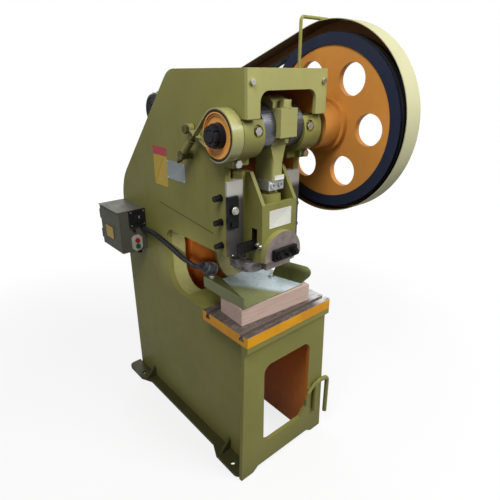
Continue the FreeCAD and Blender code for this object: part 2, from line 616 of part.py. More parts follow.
drum_right = d.drum_left + d.drum_wide
shaft_left = d.drum_left + d.hub_recess
web_near = d.rod_half + d.fit_gap
web_far = d.housing_inner - d.fit_gap
axis_centre = (d.ram_y, d.shaft_z)
pin_centre = (d.ram_y, pin_z)
web_centre = (d.ram_y, d.shaft_z + d.web_offset)
shaft = fuse("shaft_raw",
             rod("journal_left", "x", d.journal, (drum_right, -web_near), axis_centre),
             rod("spigot_left", "x", d.spigot, (shaft_left, drum_right), axis_centre),
             rod("journal_right", "x", d.journal, (web_near, d.hub_right), axis_centre),
             rod("web_left", "x", d.web_round, (-web_far, -web_near), web_centre),
             rod("web_right", "x", d.web_round, (web_near, web_far), web_centre),
             rod("pin_round", "x", d.crankpin, (-web_near, web_near), pin_centre))
keep(shaft, "crankshaft")

drum = turned("brake_drum", axis_centre, [
    (d.drum_left + d.hub_recess, d.spigot), (d.drum_left + d.hub_recess, d.drum_seat),
    (d.drum_left + d.drum_dish, d.drum_seat), (d.drum_left + d.drum_dish, d.drum_round - d.drum_rim),
    (d.drum_left, d.drum_round - d.drum_rim), (d.drum_left, d.drum_round), (drum_right, d.drum_round),
    (drum_right, d.spigot)])
pocket(drum, "eccentric_step", "yz", (d.drum_left + d.drum_dish + d.drum_step, 0, 0), [
    ((d.ram_y + d.drum_shift, d.shaft_z), d.drum_moon)], d.drum_step)
hub_nut = cut("hub_nut_cut", rod("hub_nut_round", "x", d.hub_nut,
                                 (d.drum_left - d.hub_nut_out, shaft_left), axis_centre),
              rod("hub_nut_dimple", "x", d.hub_nut / 3, (d.drum_left - d.hub_nut_out, d.drum_left), axis_centre))
keep(hub_nut, "brake_hub_nut")

collar_start = d.wall_half + d.fit_gap * 2
clutch = cut("clutch_cut", rod("clutch_round", "x", d.clutch_round, (collar_start, d.hub_left - d.fit_gap * 2),
                               axis_centre),
             rod("clutch_bore", "x", d.journal, (collar_start, d.hub_left), axis_centre),
             box("clutch_notch", (collar_start, d.hub_left), (d.ram_y - d.clutch_slot, d.ram_y + d.clutch_slot),
                 (d.shaft_z - d.clutch_round, d.shaft_z - d.clutch_round + d.clutch_slot)))
keep(clutch, "clutch_collar")

# ---------------------------------------------------------------- brake band
lining_in = d.drum_round + d.fit_gap
lining_out = lining_in + d.lining
band_out = lining_out + d.band


def tangent(radius, point, turn):
    """Where a line from a point outside touches a circle on the shaft axis."""
    a, b = size(point[0]) - d.ram_y, size(point[1]) - d.shaft_z
    far = a * a + b * b
    share = radius * (far - radius * radius).root()
    return ((radius * radius * a - share * b * turn) / far,
            (radius * radius * b + share * a * turn) / far)


anchor = (d.anchor_y, d.anchor_z)
spring_seat = (d.spring_block_y, d.spring_block_z)
top_touch = tangent(band_out, spring_seat, 1)
low_touch = tangent(band_out, anchor, -1)
gap_loop = [(size(0), size(0)), (low_touch[0] * 2, low_touch[1] * 2), (band_out * 3, low_touch[1]),
            (band_out * 3, top_touch[1]), (top_touch[0] * 2, top_touch[1] * 2)]


def sector(name, x):
    return prism(name, "yz", (x[0], d.ram_y, d.shaft_z), [gap_loop], x[1] - x[0])


drum_span = (d.drum_left, drum_right)
lining = cut("lining_cut", rod("lining_out", "x", lining_out, drum_span, axis_centre),
             rod("lining_in", "x", lining_in, drum_span, axis_centre), sector("lining_gap", drum_span))
keep(lining, "brake_lining")


def strap(name, x, touch, end):
    """A flat strap from a touch point on the band to a point behind."""
    y, z = size(end[0]) - d.ram_y, size(end[1]) - d.shaft_z
    inner = (band_out - d.band) / band_out
    step = (touch[0] * inner, touch[1] * inner)
    shift = (touch[0] - step[0], touch[1] - step[1])
    return prism(name, "yz", (x[0], d.ram_y, d.shaft_z), [
        [step, (y - shift[0], z - shift[1]), (y, z), touch]], x[1] - x[0])


middle = d.drum_left + d.drum_wide / 2
strap_upper = (d.drum_left, middle - d.strap_gap)
strap_lower = (middle + d.strap_gap, drum_right)
reach_y = d.ram_y + top_touch[0]
reach_z = d.shaft_z + top_touch[1]
spring_near = (reach_y + (d.spring_block_y - reach_y) * d.strap_share,
               reach_z + (d.spring_block_z - reach_z) * d.strap_share)
band = cut("band_cut", fuse(
    "band_raw", cut("band_ring", rod("band_round", "x", band_out, drum_span, axis_centre),
                    rod("band_hollow", "x", lining_out, drum_span, axis_centre), sector("band_gap", drum_span)),
    strap("strap_top", strap_upper, top_touch, spring_near),
    strap("strap_low", strap_lower, low_touch, anchor),
    rod("strap_eye", "x", d.anchor_eye, strap_lower, anchor)),
    rod("strap_eye_hole", "x", d.anchor_pin, strap_lower, anchor))
keep(band, "brake_band")


def feature(name, shape):
    """A piece whose shape is worked out from the sheet's values."""
    item = doc.addObject("Part::Feature", name)
    item.Shape = shape
    return item


def bar_path(points, bend):
    """Straight runs joined by tangent arcs of one bend radius."""
    edges = []
    start = points[0]
    for i in range(1, len(points) - 1):
        before = (points[i - 1] - points[i]).normalize()
        after = (points[i + 1] - points[i]).normalize()
        turn = math.pi - before.getAngle(after)
        cut_back = bend * math.tan(turn / 2)
        first, last = points[i] + before * cut_back, points[i] + after * cut_back
        inward = (before + after).normalize()
        middle = points[i] + inward * (bend / math.cos(turn / 2) - bend)
        edges.append(Part.LineSegment(start, first).toShape())
        edges.append(Part.Arc(first, middle, last).toShape())
        start = last
    edges.append(Part.LineSegment(start, points[-1]).toShape())
    return Part.Wire(edges)


def round_bar(radius, points, bend):
    """A round bar along a bent path."""
    path = bar_path(points, bend)
    ring = Part.Wire(Part.makeCircle(radius, points[0], points[1] - points[0]))
    return path.makePipeShell([ring], True, False)


def point(*place):
    return Vector(*[size(length).value for length in place])


# ---------------------------------------------------------------- brake spring and anchors
spring_x = d.drum_left + (d.drum_wide / 2 - d.strap_gap) / 2
rod_start = point(spring_x, spring_near[0], spring_near[1])
rod_seat = point(spring_x, d.spring_block_y, d.spring_block_z)
pull = (rod_seat - rod_start).normalize()
block_face = rod_seat - pull * (d.trunnion.value + d.fit_gap.value)
wire = d.spring_wire.value / 2
coil_end = block_face - pull * (wire + d.fit_gap.value)
coil_start = coil_end - pull * (d.spring_turns.value * d.spring_pitch.value)
side_a = Vector(1, 0, 0)
side_b = pull.cross(side_a)


def coil_point(turns):
    """Centre of the wire and its direction after some turns."""
    angle = 2 * math.pi * turns
    reach = d.spring_mean.value
    out = side_a * math.cos(angle) + side_b * math.sin(angle)
    along = side_b * math.cos(angle) - side_a * math.sin(angle)
    place = coil_start + pull * (d.spring_pitch.value * turns) + out * reach
    heading = along * (2 * math.pi * reach) + pull * d.spring_pitch.value
    return place, heading.normalize()


def arc_between(start, control, end):
    """An arc that leaves start and reaches end along their lines to control."""
    chord_mid = (start + end) * 0.5
    bend = (control - start).getAngle(end - start)
    return Part.Arc(start, chord_mid + (control - chord_mid) * (math.tan(bend / 2) / math.tan(bend)), end)


quarter = 0.25
steps = int(round(d.spring_turns.value / quarter))
edges = []
for i in range(steps):
    (first, lead), (last, trail) = coil_point(i * quarter), coil_point((i + 1) * quarter)
    chord = last - first
    both, turn = chord.dot(lead + trail), 2 * (1 - lead.dot(trail))
    reach = (-both + math.sqrt(both * both + turn * chord.dot(chord))) / turn
    near_control, far_control = first + lead * reach, last - trail * reach
    joint = (near_control + far_control) * 0.5
    edges.append(arc_between(first, near_control, joint).toShape())
    edges.append(arc_between(joint, far_control, last).toShape())
coil_path = Part.Wire(edges)
coil_ring = Part.Wire(Part.makeCircle(wire, coil_point(0)[0], coil_point(0)[1]))
coil = coil_path.makePipeShell([coil_ring], True, False)
samples = [coil_point(i / 24.0)[0] for i in range(int(d.spring_turns.value * 24) + 1)]
least = min((a - b).Length for i, a in enumerate(samples) for b in samples[i + 18:]) - 2 * wire
print("least gap between the spring's turns: %.2f mm" % least)
keep(feature("brake_spring_coil", coil), "brake_spring")


def slanted(radius, start, direction, length):
    return Part.makeCylinder(radius, length, start, direction)


rod_radius = d.draw_rod.value
rod_length = (rod_seat - rod_start).Length + d.trunnion.value + d.draw_rod_past.value
draw_rod = slanted(rod_radius, rod_start, pull, rod_length)
collar_at = coil_start - pull * (wire + d.fit_gap.value + d.draw_collar.value)
draw_rod = draw_rod.fuse(slanted(d.spring_mean.value + wire, collar_at, pull, d.draw_collar.value))
nut_at = rod_seat + pull * (d.trunnion.value + d.fit_gap.value)
draw_rod = draw_rod.fuse(slanted(rod_radius * 1.8, nut_at, pull, d.draw_collar.value * 2)).removeSplitter()
trunnion_span = (d.drum_left, -d.wall_half)
trunnion = rod("trunnion_bar", "x", d.trunnion, trunnion_span, spring_seat)
hole_half = d.trunnion.value * 2.5
through = slanted(rod_radius, rod_seat - pull * hole_half, pull, hole_half * 2)
trunnion_hole = feature("trunnion_hole", through)
anchor_out = strap_lower[0] - d.anchor_head
keep(group("brake_anchor_set",
           fuse("anchor_stud", rod("anchor_round", "x", d.anchor_pin, (anchor_out, -d.wall_half), anchor),
                hexagon("anchor_hex", "x", d.anchor_hex, (anchor_out, strap_lower[0]), anchor)),
           feature("draw_rod", draw_rod), cut("trunnion", trunnion, trunnion_hole)), "brake_anchors")

# ---------------------------------------------------------------- connecting rod
rod_x = (-d.rod_half, d.rod_half)
rod_bore = d.crankpin + d.run_gap + d.rod_bush_wall
half_low = common("eye_low", rod("eye_low_round", "x", d.rod_eye, rod_x, pin_centre),
                  box("eye_low_half", rod_x, (d.ram_y - d.rod_eye, d.ram_y + d.rod_eye),
                      (pin_z - d.rod_eye, pin_z)))
half_high = common("eye_high", rod("eye_high_round", "x", d.rod_eye, rod_x, pin_centre),
                   box("eye_high_half", rod_x, (d.ram_y - d.rod_eye, d.ram_y + d.rod_eye),
                       (pin_z, pin_z + d.rod_eye)))
ear_y = (d.ram_y - d.ear_front, d.ram_y + d.ear_front)
spot = d.rod_bolt_y - d.spot_half
spots = [(d.ram_y - d.rod_eye - 10, d.ram_y - spot), (d.ram_y + spot, d.ram_y + d.rod_eye + 10)]
ear_bottom = pin_z - d.ear_low
shank = doc.addObject("PartDesign::Body", "shank_body")
pad(shank, "shank_pad", "xz", (0, d.ram_y + d.shank_depth, 0), [
    [(-d.shank_half, d.shank_bottom), (d.shank_half, d.shank_bottom), (d.shank_half, pin_z - d.flare_low),
     (d.rod_half, pin_z - d.flare_high), (d.rod_half, pin_z - d.ear_low), (-d.rod_half, pin_z - d.ear_low),
     (-d.rod_half, pin_z - d.flare_high), (-d.shank_half, pin_z - d.flare_low)]], d.shank_depth * 2)
round_edges(shank, "shank_corners", d.shank_round, upright_at("z", [
    (x, d.ram_y + y * d.shank_depth) for x in (-d.shank_half, d.shank_half) for y in (-1, 1)]))
screw_centre = (size(0), d.ram_y)
conrod = cut("conrod_cut", fuse("conrod_raw", half_low, shank,
                                box("ear_low_box", rod_x, ear_y, (pin_z - d.ear_low, pin_z))),
             rod("conrod_bore", "x", rod_bore, rod_x, pin_centre),
             rod("screw_socket", "z", d.screw_round, (d.shank_bottom - 1, d.shank_bottom + d.screw_up),
                 screw_centre),
             *[box("spot_low_%d" % i, rod_x, limits, (pin_z - d.rod_eye - 1, ear_bottom))
               for i, limits in enumerate(spots)])
keep(conrod, "connecting_rod")
cap_top = pin_z + d.ear_high
rod_cap = cut("rod_cap_cut", fuse("rod_cap_raw", half_high, box("ear_high_box", rod_x, ear_y, (pin_z, cap_top))),
              rod("rod_cap_bore", "x", rod_bore, rod_x, pin_centre),
              *[box("spot_high_%d" % i, rod_x, limits, (cap_top, pin_z + d.rod_eye + 1))
                for i, limits in enumerate(spots)])
keep(rod_cap, "rod_cap")
keep(cut("rod_bush_ring", rod("rod_bush_out", "x", rod_bore, rod_x, pin_centre),
         rod("rod_bush_in", "x", d.crankpin + d.run_gap, rod_x, pin_centre)), "rod_bush")
cap_bolts = []
for i, y in enumerate((-1, 1)):
    place = (size(0), d.ram_y + y * d.rod_bolt_y)
    cap_bolts.append(fuse("rod_bolt_%d" % i,
                          hexagon("rod_nut_%d" % i, "z", d.rod_nut, (cap_top, cap_top + d.rod_nut_high), place),
                          rod("rod_stud_%d" % i, "z", d.rod_stud,
                              (cap_top, cap_top + d.rod_nut_high + d.rod_stud_past), place)))
    cap_bolts.append(hexagon("rod_head_%d" % i, "z", d.rod_nut,
                             (ear_bottom - d.rod_head_high, ear_bottom), place))
keep(group("rod_bolt_set", *cap_bolts), "rod_cap_bolts")

clamp_low = d.shank_bottom - d.clamp_tall
halves = []
for name, y in (("front", -1), ("rear", 1)):
    limits = sorted([d.ram_y + y * d.clamp_slit, d.ram_y + y * d.clamp_deep], key=lambda length: length.value)
    halves.append(cut("clamp_%s" % name, box("clamp_%s_block" % name, (-d.clamp_wide, d.clamp_wide), limits,
                                             (clamp_low, d.shank_bottom)),
                      rod("clamp_%s_bore" % name, "z", d.screw_round, (clamp_low, d.shank_bottom),
                          screw_centre)))
for name, x in (("left", -1), ("right", 1)):
    place = (d.clamp_bolt_x * x, (clamp_low + d.shank_bottom) / 2)
    face = d.ram_y - d.clamp_deep
    halves.append(cut("clamp_screw_%s" % name, rod("clamp_screw_%s_head" % name, "y", d.clamp_screw,
                                                   (face - d.clamp_head, face), place),
                      hexagon("clamp_screw_%s_socket" % name, "y", d.clamp_screw,
                              (face - d.clamp_head, face - d.clamp_head / 3), place)))
keep(group("rod_clamp_set", *halves), "rod_clamp")

ball = doc.addObject("Part::Sphere", "screw_ball")
bind(ball, "Radius", d.ball_round)
ball_z = d.collar_low + d.ball_up
seat(ball, (size(0), d.ram_y, ball_z))
stem = rod("screw_stem", "z", d.screw_round, (ball_z, d.shank_bottom + d.screw_up), screw_centre)
grip = hexagon("screw_hex", "z", d.screw_hex, (d.collar_top + d.fit_gap, clamp_low - d.fit_gap), screw_centre)
keep(fuse("screw_raw", stem, grip, ball), "adjusting_screw")
cup = doc.addObject("Part::Sphere", "collar_cup")
bind(cup, "Radius", d.ball_round + d.fit_gap)
seat(cup, (size(0), d.ram_y, ball_z))
collar = cut("collar_cut", rod("collar_round", "z", d.collar_round, (d.collar_low, d.collar_top), screw_centre),
             rod("collar_bore", "z", d.screw_round + d.fit_gap, (ball_z, d.collar_top), screw_centre), cup,
             box("collar_notch", (d.collar_round / 2, d.collar_round), (d.ram_y - d.collar_round, d.ram_y),
                 (d.collar_top - d.notch_deep, d.collar_top)))
keep(collar, "ball_collar")

# ---------------------------------------------------------------- slide
front_y = d.ram_y - d.slide_front
back_y = d.ram_y + d.slide_back
wing_front = front_y + d.wing_rake
pocket_front = front_y + d.pocket_wall
slide = body_of("slide")
pad(slide, "slide_block", "yz", (-d.slide_half, 0, 0), [
    [(front_y, d.slide_bottom), (back_y, d.slide_bottom), (back_y, d.slide_top), (wing_front, d.slide_top),
     (front_y, d.slide_face_top)]], d.slide_half * 2)
pocket_half = d.slide_half - d.wing
pocket(slide, "ball_pocket", "xy", (0, 0, d.slide_top), [
    [(-pocket_half, pocket_front), (pocket_half, pocket_front), (pocket_half, back_y + 1),
     (-pocket_half, back_y + 1)]], d.slide_top - d.pocket_floor)
pocket(slide, "wing_gap", "xy", (0, 0, d.slide_top), [
    [(-pocket_half, front_y - 1), (pocket_half, front_y - 1), (pocket_half, pocket_front + 1),
     (-pocket_half, pocket_front + 1)]], d.slide_top - d.slide_face_top)
round_edges(slide, "pocket_rounds", d.pocket_round, upright_at("z", [
    (-pocket_half, pocket_front), (pocket_half, pocket_front)]))
slope = d.tongue_reach - d.tongue_root
for word, side in SIDES:
    corners = [(d.slide_half * side, d.tongue_front), (d.tongue_root * side, d.tongue_front),
               (d.tongue_reach * side, d.tongue_front + slope), (d.tongue_reach * side, d.tongue_back - slope),
               (d.tongue_root * side, d.tongue_back), (d.slide_half * side, d.tongue_back)]
    pad(slide, word + "_tongue", "xy", (0, 0, d.slide_bottom), [corners if side > 0 else corners[::-1]],
        d.slide_top - d.slide_bottom)
foot_low = d.slide_bottom - d.foot_plate
pad(slide, "slide_foot", "xy", (0, 0, foot_low), [
    [(-d.foot_plate_half, d.ram_y - d.foot_front), (-d.clamp_half, d.ram_y - d.foot_front),
     (-d.clamp_half, d.ram_y), (d.clamp_half, d.ram_y), (d.clamp_half, d.ram_y - d.foot_front),
     (d.foot_plate_half, d.ram_y - d.foot_front), (d.foot_plate_half, d.ram_y + d.foot_back),
     (-d.foot_plate_half, d.ram_y + d.foot_back)]], d.foot_plate)
pocket(slide, "clamp_recess", "xz", (0, front_y, 0), [
    [(-d.clamp_half, d.slide_bottom - 1), (d.clamp_half, d.slide_bottom - 1), (d.clamp_half, d.clamp_recess),
     (-d.clamp_half, d.clamp_recess)]], d.slide_front)
pocket(slide, "shank_bore", "xy", (0, 0, foot_low + d.shank_hole_deep), [
    ((size(0), d.ram_y), d.shank_hole)], d.shank_hole_deep)
pocket(slide, "knock_slot", "yz", (d.slide_half, 0, 0), [
    [(d.knock_y - d.knock_slot_half, d.knock_slot_low), (d.knock_y + d.knock_slot_half, d.knock_slot_low),
     (d.knock_y + d.knock_slot_half, d.knock_slot_high), (d.knock_y - d.knock_slot_half, d.knock_slot_high)]],
    d.slide_half * 2)
round_edges(slide, "foot_rounds", d.foot_corner, upright_at("z", [
    (-d.foot_plate_half, d.ram_y - d.foot_front), (d.foot_plate_half, d.ram_y - d.foot_front)]))

flange_y = (front_y - d.clamp_flange, front_y)
clamp_z = d.slide_bottom + d.clamp_rise
shank_clamp = cut("shank_clamp_cut", fuse(
    "shank_clamp_raw",
    common("clamp_disc", rod("clamp_disc_round", "y", d.clamp_round, flange_y, (size(0), clamp_z)),
           box("clamp_disc_half", (-d.clamp_round, d.clamp_round), flange_y,
               (clamp_z, clamp_z + d.clamp_round))),
    box("clamp_skirt_box", (-d.clamp_round, d.clamp_round), flange_y, (clamp_z - d.clamp_skirt, clamp_z)),
    box("clamp_block", (-d.clamp_half, d.clamp_half), (front_y, d.ram_y), (foot_low, d.clamp_recess))),
    rod("clamp_bore", "z", d.shank_hole, (foot_low, foot_low + d.shank_hole_deep), screw_centre))
keep(shank_clamp, "shank_clamp")
bar_front = flange_y[0] - d.clamp_bar
bar_low = clamp_z - d.clamp_skirt + d.clamp_bar_up
bar_z = (bar_low, bar_low + d.clamp_bar_tall)
fastening = [box("clamp_bar", (-d.clamp_bar_half, d.clamp_bar_half), (bar_front, flange_y[0]), bar_z)]
for name, x in (("left", -1), ("right", 1)):
    place = (d.clamp_stud_x * x, (bar_z[0] + bar_z[1]) / 2)
    fastening.append(fuse("clamp_nut_" + name, hexagon("clamp_nut_hex_" + name, "y", d.clamp_nut,
                                                       (bar_front - d.clamp_nut_high, bar_front), place),
                          rod("clamp_stud_" + name, "y", d.clamp_stud,
                              (bar_front - d.clamp_nut_high - d.clamp_stud_past, bar_front), place)))
fastening.append(rod("clamp_set_screw", "y", d.clamp_stud, (bar_front - d.clamp_set, bar_front),
                     (size(0), (bar_z[0] + bar_z[1]) / 2)))
keep(group("clamp_fastening_set", *fastening), "clamp_fastening")

knock_span = (d.knock_y - d.knock_wide / 2, d.knock_y + d.knock_wide / 2)
keep(box("knock_bar", (-d.knock_left, d.knock_right), knock_span,
         (d.knock_slot_low, d.knock_slot_low + d.knock_tall)), "knockout_bar")

# ---------------------------------------------------------------- gibs
for word, side in SIDES:
    gib = doc.addObject("PartDesign::Body", word + "_gib_body")
    tip = d.tongue_reach + d.fit_gap
    open_step = d.gib_inner - d.tongue_root - d.fit_gap
    corners = [(d.gib_inner, d.gib_front), (wall_inner, d.gib_front), (wall_inner, d.gib_back),
               (d.gib_inner, d.gib_back), (d.gib_inner, d.tongue_back - open_step), (tip, d.tongue_back - slope),
               (tip, d.tongue_front + slope), (d.gib_inner, d.tongue_front + open_step)]
    corners = [(x * side, y) for x, y in corners]
    pad(gib, word + "_gib_pad", "xy", (0, 0, d.gib_low), [corners if side > 0 else corners[::-1]],
        d.gib_high - d.gib_low)
    strip = box(word + "_gib_strip", span(side, wall_inner, d.wall_half), (d.gib_front, d.cheek_front),
                (d.gib_low, d.gib_high))
    keep(group(word + "_gib_pair", gib, strip), word + "_gib")
bracket_x = span(-1, d.wall_half - d.bracket_in, d.wall_half + d.bracket_out)
bracket_face = d.gib_front - d.bracket_thick
bracket_bolt = ((bracket_x[0] + bracket_x[1]) / 2, d.bracket_low + d.bracket_bolt_up)
keep(group("bracket_set", box("bracket_plate", bracket_x, (bracket_face, d.gib_front),
                              (d.bracket_low, d.bracket_low + d.bracket_tall)),
           box("bracket_foot", (bracket_x[0] + d.bracket_step, bracket_x[1] - d.bracket_step),
               (bracket_face - d.bracket_foot, bracket_face),
               (d.bracket_low + d.bracket_step, d.bracket_low + d.bracket_step * 3)),
           rod("bracket_bolt", "y", d.bracket_bolt, (bracket_face - d.bracket_head, bracket_face),
               bracket_bolt)), "gib_bracket")
screws = []
for word, side in SIDES:
    for i, z in enumerate(gib_screw_z):
        place = (gib_screw_y, z)
        name = "%s_gib_screw_%d" % (word, i)
        nut = span(side, d.wall_half, d.wall_half + d.gib_nut_high)
        head = span(side, d.wall_half + d.gib_screw_out - d.gib_nut_high, d.wall_half + d.gib_screw_out)
        screws.append(fuse(name, rod(name + "_stem", "x", d.gib_screw, span(side, wall_inner,
                                                                          d.wall_half + d.gib_screw_out), place),
                           hexagon(name + "_nut", "x", d.gib_nut, nut, place),
                           hexagon(name + "_head", "x", d.gib_head, head, place)))
keep(group("gib_screw_set", *screws), "gib_screws")

# ---------------------------------------------------------------- flywheel and belt drive
wheel_right = d.wheel_left + d.wheel_wide
web_left = d.wheel_left + d.web_recess
web_right = web_left + d.wheel_web
groove_x = [d.wheel_left + d.wheel_wide / 2 + d.belt_pitch * (i - 0.5) for i in (0, 1)]


def grooved(radius, low, high):
    """Rim corners from the left edge to the right, with a V groove for each belt."""
    corners = [(low, radius)]
    for x in groove_x:
        corners += [(x - d.belt_wide / 2, radius), (x - d.groove_floor / 2, radius - d.groove_deep),
                    (x + d.groove_floor / 2, radius - d.groove_deep), (x + d.belt_wide / 2, radius)]
    return corners + [(high, radius)]


bore = d.journal + d.run_gap
flywheel = turned("flywheel", axis_centre, [
    (d.hub_left, bore), (d.hub_left, d.hub_round), (web_left - d.hub_flange_wide, d.hub_round),
    (web_left - d.hub_flange_wide, d.hub_flange), (web_left, d.hub_flange), (web_left, d.rim_inner),
    (d.wheel_left, d.rim_inner)] + grooved(d.wheel_round, d.wheel_left, wheel_right) + [
    (wheel_right, d.rim_inner), (web_right, d.rim_inner), (web_right, d.hub_round),
    (wheel_right, d.hub_round), (wheel_right, bore)])
hole_y = d.hole_circle * math.cos(math.radians(DRIVING["hole_turn"]))
hole_z = d.hole_circle * math.sin(math.radians(DRIVING["hole_turn"]))
hole = pocket(flywheel, "web_hole", "yz", (web_right, d.ram_y, d.shaft_z), [((hole_y, hole_z), d.hole_round)],
              d.wheel_web)
ring = flywheel.newObject("PartDesign::PolarPattern", "web_holes")
ring.Originals = [hole]
ring.Axis = (hole.Profile[0], ["N_Axis"])
ring.Angle = 360
ring.Occurrences = DRIVING["hole_count"]
flywheel.Tip = ring
doc.recompute()

motor_centre = (d.motor_y, d.motor_z)
pulley_left = groove_x[0] - d.belt_pitch / 2 - d.pulley_edge
pulley_right = groove_x[1] + d.belt_pitch / 2 + d.pulley_edge
turned("motor_pulley", motor_centre, [
    (d.motor_right + d.fit_gap * 2, size(0)), (d.motor_right + d.fit_gap * 2, d.motor_shaft),
    (pulley_left - d.pulley_edge * 2, d.motor_shaft), (pulley_left - d.pulley_edge * 2, d.pulley_hub),
    (pulley_left, d.pulley_hub)] + grooved(d.pulley_round, pulley_left, pulley_right) + [
    (pulley_right, d.motor_shaft * 2), (pulley_right - d.pulley_edge, d.motor_shaft * 2),
    (pulley_right - d.pulley_edge, size(0))])


def racetrack(name, first, small, near_radius, far_radius):
    """Corners where two straight runs touch a large and a small circle."""
    a, b = size(small[0]) - first[0], size(small[1]) - first[1]
    far = derive(name + "_far", (a * a + b * b).root())
    lean = derive(name + "_lean", (size(near_radius) - far_radius) / far)
    rest = derive(name + "_rest", (1 - lean * lean).root())
    along_y, along_z = derive(name + "_ay", a / far), derive(name + "_az", b / far)
    up = (along_y * lean - along_z * rest, along_z * lean + along_y * rest)
    down = (along_y * lean + along_z * rest, along_z * lean - along_y * rest)
    return [(first[0] + up[0] * near_radius, first[1] + up[1] * near_radius),
            (small[0] + up[0] * far_radius, small[1] + up[1] * far_radius),
            (small[0] + down[0] * far_radius, small[1] + down[1] * far_radius),
            (first[0] + down[0] * near_radius, first[1] + down[1] * near_radius)]


def loop_band(body, name, start, wide, first, small, outer, inner):
    """A band round a large and a small circle: outer and inner hold their radii."""
    corners = racetrack(name + "_out", first, small, *outer)
    pad(body, name + "_large", "yz", (start, 0, 0), [(first, outer[0])], wide)
    pad(body, name + "_runs", "yz", (start, 0, 0), [corners], wide)
    pad(body, name + "_small", "yz", (start, 0, 0), [(small, outer[1])], wide)
    corners = racetrack(name + "_in", first, small, *inner)
    end = start + wide
    pocket(body, name + "_large_in", "yz", (end, 0, 0), [(first, inner[0])], wide)
    pocket(body, name + "_runs_in", "yz", (end, 0, 0), [corners], wide)
    pocket(body, name + "_small_in", "yz", (end, 0, 0), [(small, inner[1])], wide)


belt_half = d.belt_wide / 2 - d.belt_side
belts = []
for i, x in enumerate(groove_x):
    belt = doc.addObject("PartDesign::Body", "belt_%d" % i)
    loop_band(belt, "belt_%d" % i, x - belt_half, belt_half * 2, axis_centre, motor_centre,
              (d.wheel_round + d.belt_proud, d.pulley_round + d.belt_proud),
              (d.wheel_round + d.belt_proud - d.belt_deep, d.pulley_round + d.belt_proud - d.belt_deep))
    belts.append(belt)
keep(group("belt_pair", *belts), "drive_belts")

motor = turned("motor_housing", motor_centre, [
    (d.motor_left, size(0)), (d.motor_left, d.motor_round - d.motor_cowl),
    (d.motor_left + d.motor_cowl, d.motor_round), (d.motor_right - d.motor_bell, d.motor_round),
    (d.motor_right - d.motor_bell, d.motor_round - d.motor_cowl),
    (d.motor_right, d.motor_nose), (d.motor_right, size(0))])
fin_start = d.motor_left + d.motor_fan
fin = pad(motor, "fin", "yz", (fin_start, d.motor_y, d.motor_z), [
    [(d.motor_round - 2, -d.fin_thick / 2), (d.motor_round + d.fin_high, -d.fin_thick / 2),
     (d.motor_round + d.fin_high, d.fin_thick / 2), (d.motor_round - 2, d.fin_thick / 2)]],
    d.motor_right - d.motor_bell - fin_start)
fins = motor.newObject("PartDesign::PolarPattern", "fins")
fins.Originals = [fin]
fins.Axis = (fin.Profile[0], ["N_Axis"])
fins.Angle = 360
fins.Occurrences = DRIVING["fin_count"]
motor.Tip = fins
doc.recompute()

# the motor's plate lies on the sloping back, so it is built flat and turned by 45 degrees
seat_distance = derive("seat_distance", d.motor_rise / root_two + d.back_inset)
slope_turn = Rotation(Vector(1, 0, 0), -45)


def slope_box(name, x, along, out):
    """A block on the sloping back: along runs down the slope, out stands off it."""
    item = doc.addObject("Part::Box", name)
    for prop, (low, high) in zip(("Length", "Width", "Height"), (x, along, out)):
        bind(item, prop, size(high) - low)
    item.Placement = Placement(Vector(), slope_turn)
    foot_y = d.motor_y - seat_distance / root_two
    foot_z = d.motor_z - seat_distance / root_two
    bind(item, "Placement.Base.x", x[0])
    bind(item, "Placement.Base.y", foot_y + (size(along[0]) + out[0]) / root_two)
    bind(item, "Placement.Base.z", foot_z + (size(out[0]) - along[0]) / root_two)
    return item


plate_x = (d.motor_mid - d.motor_plate_half, d.motor_mid + d.motor_plate_half)
saddle_top = seat_distance - d.motor_round + d.saddle_bite
bracket = fuse("motor_plate_raw", slope_box("motor_plate", plate_x, (-d.motor_plate_run, d.motor_plate_run),
                                            (size(0), d.motor_plate_thick)),
               *[slope_box("motor_foot_%s_%s" % (i, j), (d.motor_mid + d.motor_foot_x * i - d.motor_foot_half,
                                                         d.motor_mid + d.motor_foot_x * i + d.motor_foot_half),
                           (d.motor_foot_run * j - d.motor_foot_half, d.motor_foot_run * j + d.motor_foot_half),
                           (d.motor_plate_thick, saddle_top)) for i in (-1, 1) for j in (-1, 1)])
motor_clear = rod("motor_clear", "x", d.motor_round + d.fin_high + d.fit_gap, (plate_x[0] - 10, plate_x[1] + 10),
                  motor_centre)
keep(cut("motor_bracket_cut", bracket, motor_clear), "motor_bracket")

guard_centre = (d.ram_y + d.guard_shift, d.shaft_z + d.guard_rise)
guard = body_of("belt_guard")
loop_band(guard, "guard", d.guard_left, d.guard_wide, guard_centre, motor_centre,
          (d.guard_round, d.guard_small), (d.guard_round - d.guard_sheet, d.guard_small - d.guard_sheet))

